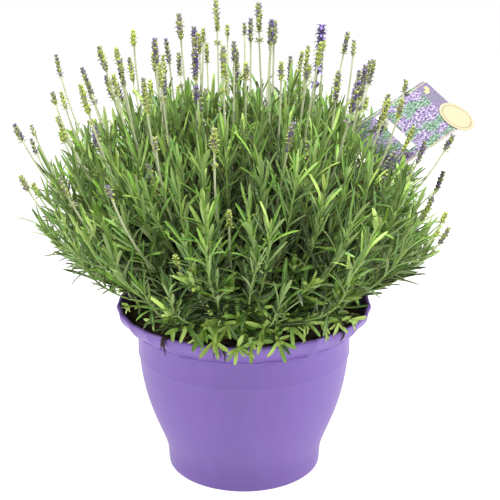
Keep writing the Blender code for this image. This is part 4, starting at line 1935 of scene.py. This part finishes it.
@dataclass
class Foliage:
    """The leaves and the green stems, with the leaves in sectors round the bush."""

    seed: int = 23
    sectors: int = 8
    leaf_width: float = 3.1 * MM
    # How many times wider a leaf is on a low shoot.
    low_broadening: float = 1.45
    # Bow, twist, fold and rows of the shapes.
    long_shapes: tuple[tuple[float, float, float, int], ...] = (
        (-0.30, 0.0, 0.55, 7),
        (0.20, 0.25, 0.40, 7),
        (0.55, -0.2, 0.60, 7),
        (-0.55, 0.5, 0.35, 7),
        (0.05, -0.6, 0.5, 7),
        (0.85, 0.1, 0.45, 7),
    )
    short_shapes: tuple[tuple[float, float, float, int], ...] = ((0.1, 0.1, 0.5, 4), (0.3, -0.2, 0.5, 4))
    short_leaf: float = 22 * MM
    # How often a leaf that would cut the pot is turned before it is left out.
    tries: int = 5
    # Level over the compost, and radii inside and outside the rim, where a leaf may go.
    clear_level: float = 166 * MM
    clear_inside: float = 100 * MM
    over_level: float = 175 * MM
    over_reach: float = 132 * MM
    beside_level: float = 136 * MM
    beside_reach: float = 129 * MM
    node_gap: tuple[float, float] = (20 * MM, 9 * MM)
    opening: tuple[float, float] = (48.0, 20.0)
    # How much wider, in degrees, the leaves open on the low shoots.
    spread: dict[Growth, float] = field(default_factory=lambda: {Growth.SIDE: 9.0, Growth.TRAILING: 20.0})
    stem_radius: tuple[float, float] = (1.35 * MM, 0.75 * MM)
    bush: Bush = field(default_factory=Bush)
    copies: list[list[Copy]] = field(default_factory=list)

    def __post_init__(self) -> None:
        """Start the source of the small differences."""
        self.draw = random.Random(self.seed)

    def build(self) -> list[Object]:
        """Set the leaves on every shoot and sweep the stems.

        Returns:
            The stems' pieces and one piece of leaves for each sector.
        """
        bush = self.bush
        self.copies = [[] for _ in range(self.sectors)]
        shapes = (*self.long_shapes, *self.short_shapes)
        shelf = library("leaf", [LeafShape(*shape).build(f"leaf_{i}") for i, shape in enumerate(shapes)])
        for shoot in bush.shoots:
            self.clothe(shoot)
        leafy = [self.stem(shoot) for shoot in bush.shoots if shoot.growth is not Growth.FLOWERING]
        stalks = [self.stem(shoot) for shoot in bush.shoots if shoot.growth is Growth.FLOWERING]
        pieces = [keep_piece(sweep("green_stems", leafy, Skin.STEM, 6), ())]
        standing = sweep("flower_stalks", stalks, Skin.STALK, 6)
        pieces.append(keep_piece(standing, nodes_named("flower_stalk_")))
        nodes = nodes_by_sector("leafy_shoot_", self.sectors)
        for number, copies in enumerate(self.copies):
            piece = scatter(f"foliage_{number + 1}", copies, shelf, Skin.LEAF)
            pieces.append(keep_piece(piece, nodes[number]))
        discard(shelf)
        LOG.info("foliage: %d leaves on %d shoots", sum(len(c) for c in self.copies), len(bush.shoots))
        return pieces

    def stem(self, shoot: Shoot) -> Strand:
        """The shoot's own stem, up to the foot of its spike.

        Args:
            shoot: The shoot.

        Returns:
            The stem.
        """
        steps = 16
        points = [bezier(shoot.curve, i / steps) for i in range(steps + 1)]
        thick, thin = self.stem_radius
        if shoot.growth is Growth.FLOWERING:
            thin = 0.85 * MM
        radii = [thick + (thin - thick) * (i / steps) ** 0.7 for i in range(steps + 1)]
        return Strand(points, radii, shoot.tint)

    def clothe(self, shoot: Shoot) -> None:
        """Set pairs of leaves along a shoot, each pair a quarter turn from the last.

        Args:
            shoot: The shoot.
        """
        length = shoot.length()
        place = shoot.leafy_from * length
        end = shoot.leafy_to * length
        roll = self.draw.uniform(0, tau)
        tip_gap = self.node_gap[1] if shoot.growth is not Growth.FLOWERING else self.node_gap[0] * 0.8
        while place < end:
            share = (place - shoot.leafy_from * length) / max(1e-6, end - shoot.leafy_from * length)
            age = 1 - smoothstep(0.55, 1.0, share)
            if shoot.growth is Growth.FLOWERING:
                age = 0.75
            reach = shoot.leaf_length * (0.55 + 0.45 * smoothstep(0.0, 0.35, share)) * (0.66 + 0.34 * age)
            opening = self.opening[1] + (self.opening[0] - self.opening[1]) * age
            opening += self.spread.get(shoot.growth, 0.0)
            for side in (0.0, pi):
                self.add_leaf(shoot, place / length, roll + side, opening, reach, share)
                if self.draw.random() < 0.7:
                    # A young shoot in the leaf's axil: a pair of shorter leaves.
                    for turn in (-0.8, 0.8):
                        small = reach * self.draw.uniform(0.3, 0.65)
                        self.add_leaf(
                            shoot, place / length, roll + side + turn, opening * 0.6, small, share
                        )
            roll += pi / 2 + self.draw.uniform(-0.2, 0.2)
            gap = self.node_gap[0] + (tip_gap - self.node_gap[0]) * smoothstep(0.3, 1.0, share)
            place += gap * self.draw.uniform(0.8, 1.2)
        if shoot.growth is not Growth.FLOWERING:
            # The growing tip: two upright leaves round two shorter ones.
            for turn, part in ((0.0, 0.72), (pi, 0.66), (pi / 2, 0.42), (-pi / 2, 0.38)):
                small = shoot.leaf_length * part * self.draw.uniform(0.85, 1.15)
                spread = 11.0 + self.spread.get(shoot.growth, 0.0)
                self.add_leaf(shoot, 0.995, roll + turn, spread, small, 1.0)

    def add_leaf(
        self,
        shoot: Shoot,
        share: float,
        roll: float,
        opening: float,
        length: float,
        youth: float,
    ) -> None:
        """Add one leaf, unless it would cut the pot or the compost however it is turned.

        Args:
            shoot: The shoot.
            share: Where on the shoot the leaf grows.
            roll: Its turn round the shoot.
            opening: How wide it opens, in degrees.
            length: Its length.
            youth: How near the tip it grows, from 0 to 1.
        """
        place = bezier(shoot.curve, share)
        along = bezier_heading(shoot.curve, share)
        level = along.cross(Vector((0, 0, 1)))
        level = level.normalized() if level.length > 1e-3 else Vector((1, 0, 0))
        other = along.cross(level)
        for attempt in range(self.tries):
            turn = roll + self.draw.uniform(-0.3, 0.3) + attempt * 0.7
            angle = radians(opening + self.draw.uniform(-14, 20))
            side = level * cos(turn) + other * sin(turn)
            direction = along * cos(angle) + side * sin(angle)
            # A leaf turns up towards the light; one on a trailing shoot hangs over the rim.
            light = -0.5 if shoot.growth is Growth.TRAILING and self.draw.random() < 0.65 else 0.16
            direction = (direction + Vector((0, 0, light))).normalized()
            if direction.z < -0.02 and shoot.growth is not Growth.TRAILING:
                continue
            face = along * sin(angle) - side * cos(angle) + Vector((0, 0, 0.35))
            end = place + direction * length
            low = shoot.growth is not Growth.TRAILING and end.z < self.bush.underside(end)
            if not low and self.clear(place + direction * length * 0.5) and self.clear(end):
                break
        else:
            return
        if not self.clear(place):
            return
        width = self.leaf_width * self.draw.uniform(0.8, 1.2) * (0.55 + 0.45 * min(1.0, length / (34 * MM)))
        low_growth = shoot.growth in self.spread
        width *= self.low_broadening if low_growth else 1.0
        tint = 0.05 + 0.42 * shoot.tint + 0.42 * smoothstep(0.65, 1.0, youth) + self.draw.gauss(0, 0.18)
        if length < 20 * MM:
            tint += 0.12
        # Painted shade: leaves deep in the bush get a darker tint, much less on the low shoots, whose leaves
        # also get a lighter tint.
        tint -= (0.14 if low_growth else 0.72) * self.bush.depth(place)
        if low_growth:
            tint += 0.20
        if length > self.short_leaf:
            shape = self.draw.randrange(len(self.long_shapes))
        else:
            shape = len(self.long_shapes) + self.draw.randrange(len(self.short_shapes))
        turn = facing(direction, face)
        leaf = Copy(place, turn, (width, width, length), shape, min(1.0, max(0.0, tint)))
        self.copies[sector_of(place, self.sectors)].append(leaf)

    def clear(self, place: Vector) -> bool:
        """Whether a place is clear of the pot's wall and above the compost.

        Args:
            place: The place.

        Returns:
            Whether a leaf may be there.
        """
        reach = hypot(place.x, place.y)
        off_wall = reach > self.over_reach or place.z > self.over_level or reach < self.clear_inside
        beside = reach > self.beside_reach and place.z > self.beside_level
        return place.z > self.clear_level and off_wall or beside


@dataclass
class CalyxShape:
    """A felted cup of unit length along +Z and unit width: a barrel with three short teeth."""

    sides: int = 6

    def build(self, name: str) -> Mesh:
        """Make the cup, closed at its mouth.

        Args:
            name: The mesh's name.

        Returns:
            A closed mesh with the "blade" map.
        """
        profile = ((0.10, 0.0), (0.42, 0.30), (0.50, 0.62), (0.40, 0.92))
        points, faces, maps = [], [], []
        for row, (radius, level) in enumerate(profile):
            for i in range(self.sides):
                flare, rise = (1.12, 0.08) if row == 3 and i % 2 else (1.0, 0.0)
                points.append(polar(radius * flare, tau * i / self.sides, level + rise))
        for row in range(3):
            for i in range(self.sides):
                j = (i + 1) % self.sides
                a, b = row * self.sides, row * self.sides + self.sides
                faces.append((a + i, a + j, b + j, b + i))
                left, right = i / self.sides, (i + 1) / self.sides
                low, high = profile[row][1], profile[row + 1][1]
                maps.append([(left, low), (right, low), (right, high), (left, high)])
        mouth = len(points)
        points.append(Vector((0, 0, 0.80)))
        for i in range(self.sides):
            j = (i + 1) % self.sides
            a = 3 * self.sides
            faces.append((a + i, a + j, mouth))
            maps.append([(i / self.sides, 0.92), ((i + 1) / self.sides, 0.92), ((i + 0.5) / self.sides, 1.0)])
        faces.append(tuple(reversed(range(self.sides))))
        maps.append([(i / self.sides, 0.0) for i in reversed(range(self.sides))])
        return mesh_from(name, points, faces, maps, "blade", 180)


@dataclass
class Blossom:
    """The flower spikes: whorls of calyces over pairs of bracts, closed at the top by a tuft of buds."""

    seed: int = 31
    sectors: int = 3
    whorl_gap: float = 3.5 * MM
    calyx: tuple[float, float] = (2.1 * MM, 5.2 * MM)
    bract: tuple[float, float] = (2.6 * MM, 3.6 * MM)
    per_whorl: int = 6
    stalk_radius: float = 0.9 * MM

    def __post_init__(self) -> None:
        """Start the source of the small differences."""
        self.draw = random.Random(self.seed)

    def build(self, bush: Bush) -> list[Object]:
        """Make every spike.

        Args:
            bush: The plan of the shoots.

        Returns:
            One piece of calyces for each sector, and the open petals.
        """
        bract = LeafShape(0.25, 0.0, 0.5, rows=4)
        shelf = library("calyx", [CalyxShape().build("calyx_0"), bract.build("calyx_1")])
        copies: list[list[Copy]] = [[] for _ in range(self.sectors)]
        petals: list[Copy] = []
        flowers = [shoot for shoot in bush.shoots if shoot.growth is Growth.FLOWERING]
        for shoot in flowers:
            self.grow(shoot, copies[sector_of(shoot.curve[3], self.sectors)], petals)
        nodes = nodes_by_sector("flower_spike_", self.sectors)
        pieces = []
        for number, found in enumerate(copies):
            piece = scatter(f"flower_spikes_{number + 1}", found, shelf, Skin.CALYX)
            pieces.append(keep_piece(piece, nodes[number]))
        discard(shelf)
        lobes = library("petal", [LeafShape(0.5, 0.3, 0.2, rows=3).build("petal_0")])
        pieces.append(keep_piece(scatter("open_petals", petals, lobes, Skin.PETAL), ()))
        discard(lobes)
        LOG.info("flower spikes: %d, with %d calyces and bracts", len(flowers), sum(len(c) for c in copies))
        return pieces

    def grow(self, shoot: Shoot, copies: list[Copy], petals: list[Copy]) -> None:
        """Add one spike's whorls at the top of its stalk.

        Args:
            shoot: The flowering shoot.
            copies: The list that takes the calyces and the bracts.
            petals: The list that takes the petals of open flowers.
        """
        tip, along = shoot.curve[3], bezier_heading(shoot.curve, 1.0)
        whorls = max(2, round(shoot.spike_length / self.whorl_gap))
        plump = self.draw.uniform(0.8, 1.15) * (0.8 + 0.2 * min(1.0, shoot.spike_length / (26 * MM)))
        plump *= 1.0 + 0.7 * shoot.open_share
        levels = [shoot.spike_length * (i / whorls) for i in range(whorls)]
        if self.draw.random() < 0.4 and shoot.spike_length > 18 * MM:
            levels.insert(0, -self.draw.uniform(8, 14) * MM)
        roll = self.draw.uniform(0, tau)
        length = shoot.length()
        for level in levels:
            below = shoot.spike_length - level
            share = max(0.0, 1.0 - (below - 3 * MM) / length)
            place, heading_here = bezier(shoot.curve, share), bezier_heading(shoot.curve, share)
            slim = 0.66 + 0.34 * smoothstep(0.0, 10 * MM, below) - 0.10 * smoothstep(14 * MM, 28 * MM, below)
            self.whorl(place, heading_here, roll, plump * slim, level < 0, shoot, copies, petals)
            roll += 0.5
        for i in range(3):
            size = plump * 0.62
            turn = roll + i * tau / 3
            self.add_cup(tip - along * 3 * MM, along, turn, 14.0, size, shoot, copies)

    def add_cup(
        self,
        place: Vector,
        along: Vector,
        turn: float,
        tilt: float,
        size: float,
        shoot: Shoot,
        copies: list[Copy],
    ) -> Vector:
        """Add one calyx that leans out from the stalk, and give its direction.

        Args:
            place: The place.
            along: The stalk's direction.
            turn: The turn round the stalk.
            tilt: The lean from the stalk, in degrees.
            size: The size, 1 for a full calyx.
            shoot: The shoot.
            copies: The list that takes the calyx.

        Returns:
            The calyx's direction.
        """
        side = self.side_at(along, turn)
        angle = radians(tilt + self.draw.uniform(-7, 7))
        direction = along * cos(angle) + side * sin(angle)
        width, length = self.calyx
        scale = size * self.draw.uniform(0.88, 1.12)
        foot = place + side * self.stalk_radius * 0.6
        stretch = (width * scale, width * scale, length * scale)
        copies.append(Copy(foot, facing(direction, along), stretch, 0, shoot.violet))
        return direction

    def side_at(self, along: Vector, turn: float) -> Vector:
        """The unit vector square to a stalk at a turn round it."""
        level = along.cross(Vector((0.3, 1, 0))).normalized()
        return level * cos(turn) + along.cross(level) * sin(turn)

    def whorl(
        self,
        place: Vector,
        along: Vector,
        roll: float,
        size: float,
        apart: bool,
        shoot: Shoot,
        copies: list[Copy],
        petals: list[Copy],
    ) -> None:
        """Add a ring of calyces and the two bracts under it. A whorl set apart has fewer, spread wide.

        Args:
            place: The place.
            along: The stalk's direction.
            roll: The turn of the first calyx.
            size: The size, 1 for full calyces.
            apart: Whether the whorl stands below the spike.
            shoot: The shoot.
            copies: The list that takes the calyces and the bracts.
            petals: The list that takes the petals of open flowers.
        """
        count, tilt = (4, 42.0) if apart else (self.per_whorl, 21.0)
        for i in range(count):
            turn = roll + tau * i / count + self.draw.uniform(-0.15, 0.15)
            direction = self.add_cup(place, along, turn, tilt, size, shoot, copies)
            if self.draw.random() < shoot.open_share:
                mouth = place + direction * self.calyx[1] * size * 0.9
                for lobe in range(3):
                    out = (direction + self.side_at(direction, turn + lobe * 2.1) * 0.9).normalized()
                    petals.append(Copy(mouth, facing(out, direction), (2.4 * MM, 2.4 * MM, 3.6 * MM), 0, 0.5))
        width, length = self.bract
        for i in range(2):
            side = self.side_at(along, roll + i * pi)
            direction = (along * 0.62 + side * 0.78).normalized()
            foot = place - along * 0.8 * MM + side * self.stalk_radius
            turn = facing(direction, along)
            copies.append(
                Copy(foot, turn, (width * size, width * size, length * size), 1, shoot.violet * 0.35)
            )


# ---- Label ----


@dataclass
class PlantLabel:
    """The printed card on its bent stake, with an oval paper badge on its far corner."""

    size: tuple[float, float] = (65 * MM, 104 * MM)
    thickness: float = 0.8 * MM
    corner: float = 4 * MM
    lean: float = 42.0
    turn: float = -3.0
    spin: float = -51.0
    badge_size: tuple[float, float] = (40 * MM, 24 * MM)
    badge_place: tuple[float, float] = (21 * MM, 46 * MM)
    badge_spin: float = 5.0
    badge_thickness: float = 0.6 * MM
    badge_corners: int = 72
    gap: float = 0.3 * MM
    stake_width: float = 12 * MM
    stake_thickness: float = 1.2 * MM
    stake_foot: Vector = field(default_factory=lambda: Vector((60, 10, 112)) * MM)
    stake_bend_level: float = 172 * MM
    stake_overlap: float = 30 * MM
    stake_steps: int = 28
    stake_sides: int = 12

    def axes(self) -> Matrix:
        """The card's across, along and outward directions, as columns.

        Returns:
            The three columns.
        """
        turn = Matrix.Rotation(radians(self.turn), 3, "Z")
        lean = Matrix.Rotation(radians(self.lean), 3, "X")
        return turn @ lean @ Matrix.Rotation(radians(self.spin), 3, "Z")

    def build(self) -> list[Object]:
        """Make the card, the badge and the stake.

        Returns:
            The pieces.
        """
        low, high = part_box("label_card")
        axes = self.axes()
        centre = (low + high) / 2 - axes.col[2] * self.thickness / 2
        frame = Matrix.Translation(centre) @ axes.to_4x4()
        return [self.build_card(frame), self.build_badge(frame), self.build_stake(centre, axes)]

    def plate(
        self, outline: Sequence[tuple[float, float]], thickness: float, size: tuple[float, float]
    ) -> BMesh:
        """A flat plate with rounded edges and the "card" map, 0 to 1 over the face, beyond 1 on the back.

        Args:
            outline: The face's corners.
            thickness: The plate's thickness.
            size: The width and length that the map covers.

        Returns:
            The plate.
        """
        bm = bmesh.new()
        loft(bm, [[bm.verts.new((x, y, level)) for x, y in outline] for level in (0.0, thickness)])
        rims = [e for e in bm.edges if abs(e.verts[0].co.z - e.verts[1].co.z) < 1e-7]
        bmesh.ops.bevel(bm, geom=rims, offset=thickness * 0.3, segments=2, profile=0.5, affect="EDGES")
        layer = bm.loops.layers.uv.new("card")
        for face in bm.faces:
            back = 0.0 if face.normal.z > 0.3 else 1.5
            for loop in face.loops:
                loop[layer].uv = (loop.vert.co.x / size[0] + 0.5 + back, loop.vert.co.y / size[1] + 0.5)
        return bm

    def build_card(self, frame: Matrix) -> Object:
        """The card, with rounded corners.

        Args:
            frame: The card's place and turn.

        Returns:
            The card.
        """
        half_x, half_y = self.size[0] / 2, self.size[1] / 2
        outline = []
        for number, (sx, sy) in enumerate(((1, -1), (1, 1), (-1, 1), (-1, -1))):
            centre = (sx * (half_x - self.corner), sy * (half_y - self.corner))
            for i in range(7):
                angle = radians(-90 + number * 90 + i * 15)
                outline.append((centre[0] + self.corner * cos(angle), centre[1] + self.corner * sin(angle)))
        bm = self.plate(outline, self.thickness, self.size)
        bm.transform(frame)
        card = new_object("label_face", mesh_of_bmesh("label_face", bm, 40))
        dress(card, Skin.CARD.value.make())
        return keep_piece(card, ("label_card",))

    def build_badge(self, frame: Matrix) -> Object:
        """The oval badge on the card's face.

        Args:
            frame: The card's place and turn.

        Returns:
            The badge.
        """
        half_x, half_y = self.badge_size[0] / 2, self.badge_size[1] / 2
        turns = [tau * i / self.badge_corners for i in range(self.badge_corners)]
        outline = [(half_x * cos(turn), half_y * sin(turn)) for turn in turns]
        bm = self.plate(outline, self.badge_thickness, self.badge_size)
        place = Matrix.Translation((*self.badge_place, self.thickness + self.gap))
        bm.transform(frame @ place @ Matrix.Rotation(radians(self.badge_spin), 4, "Z"))
        badge = new_object("oval_badge", mesh_of_bmesh("oval_badge", bm, 40))
        dress(badge, Skin.BADGE.value.make())
        return keep_piece(badge, ("label_badge",))

    def build_stake(self, centre: Vector, axes: Matrix) -> Object:
        """The stake: upright in the compost, then one smooth bend up to the back of the card.

        Args:
            centre: The middle of the card's back.
            axes: The card's across, along and outward directions.

        Returns:
            The stake.
        """
        across, along, out = axes.col
        back = centre - out * (self.gap + self.stake_thickness / 2)
        card_foot = back - along * (self.size[1] / 2)
        bend_start = Vector((self.stake_foot.x, self.stake_foot.y, self.stake_bend_level))
        pull = (card_foot - bend_start).length * 0.45
        curve = (bend_start, bend_start + Vector((0, 0, pull)), card_foot - along * pull, card_foot)
        steps = self.stake_steps
        points = [self.stake_foot, *[bezier(curve, i / steps) for i in range(steps + 1)]]
        points.append(card_foot + along * self.stake_overlap)
        flat = Vector((across.x, across.y, 0.0)).normalized()
        bm = bmesh.new()
        rings = []
        half_width, half_depth = self.stake_width / 2, self.stake_thickness / 2
        for number, point in enumerate(points):
            ahead, behind = points[min(number + 1, len(points) - 1)], points[max(number - 1, 0)]
            tangent = along if number >= len(points) - 2 else (ahead - behind).normalized()
            width = flat.lerp(across, min(1.0, max(0, number - 1) / steps))
            width = (width - tangent * width.dot(tangent)).normalized()
            depth = tangent.cross(width)
            narrow = 0.25 if number == 0 else 1.0
            ring = []
            for i in range(self.stake_sides):
                angle = tau * i / self.stake_sides
                # A flat oval section, with its corners only a little rounded.
                x = copysign(abs(cos(angle)) ** 0.35, cos(angle)) * half_width * narrow
                y = copysign(abs(sin(angle)) ** 0.8, sin(angle)) * half_depth
                ring.append(bm.verts.new(point + width * x + depth * y))
            rings.append(ring)
        loft(bm, rings)
        bmesh.ops.recalc_face_normals(bm, faces=bm.faces)
        stake = new_object("label_holder", mesh_of_bmesh("label_holder", bm, 50))
        dress(stake, Skin.STAKE.value.make())
        return keep_piece(stake, ("label_stake",))


# ---- All together ----


def main() -> None:
    """Build the studio, the pot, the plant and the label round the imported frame."""
    logging.basicConfig(level=logging.INFO, format="%(name)s: %(message)s")
    for obj in list(bpy.data.objects):
        bpy.data.objects.remove(obj)
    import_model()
    Studio().build()
    pot = PotShell()
    pot.build()
    CompostBed().build(pot)
    bush = Bush().plan()
    Woodwork().build()
    Foliage(bush=bush).build()
    Blossom().build(bush)
    PlantLabel().build()


if __name__ == "__main__":
    main()
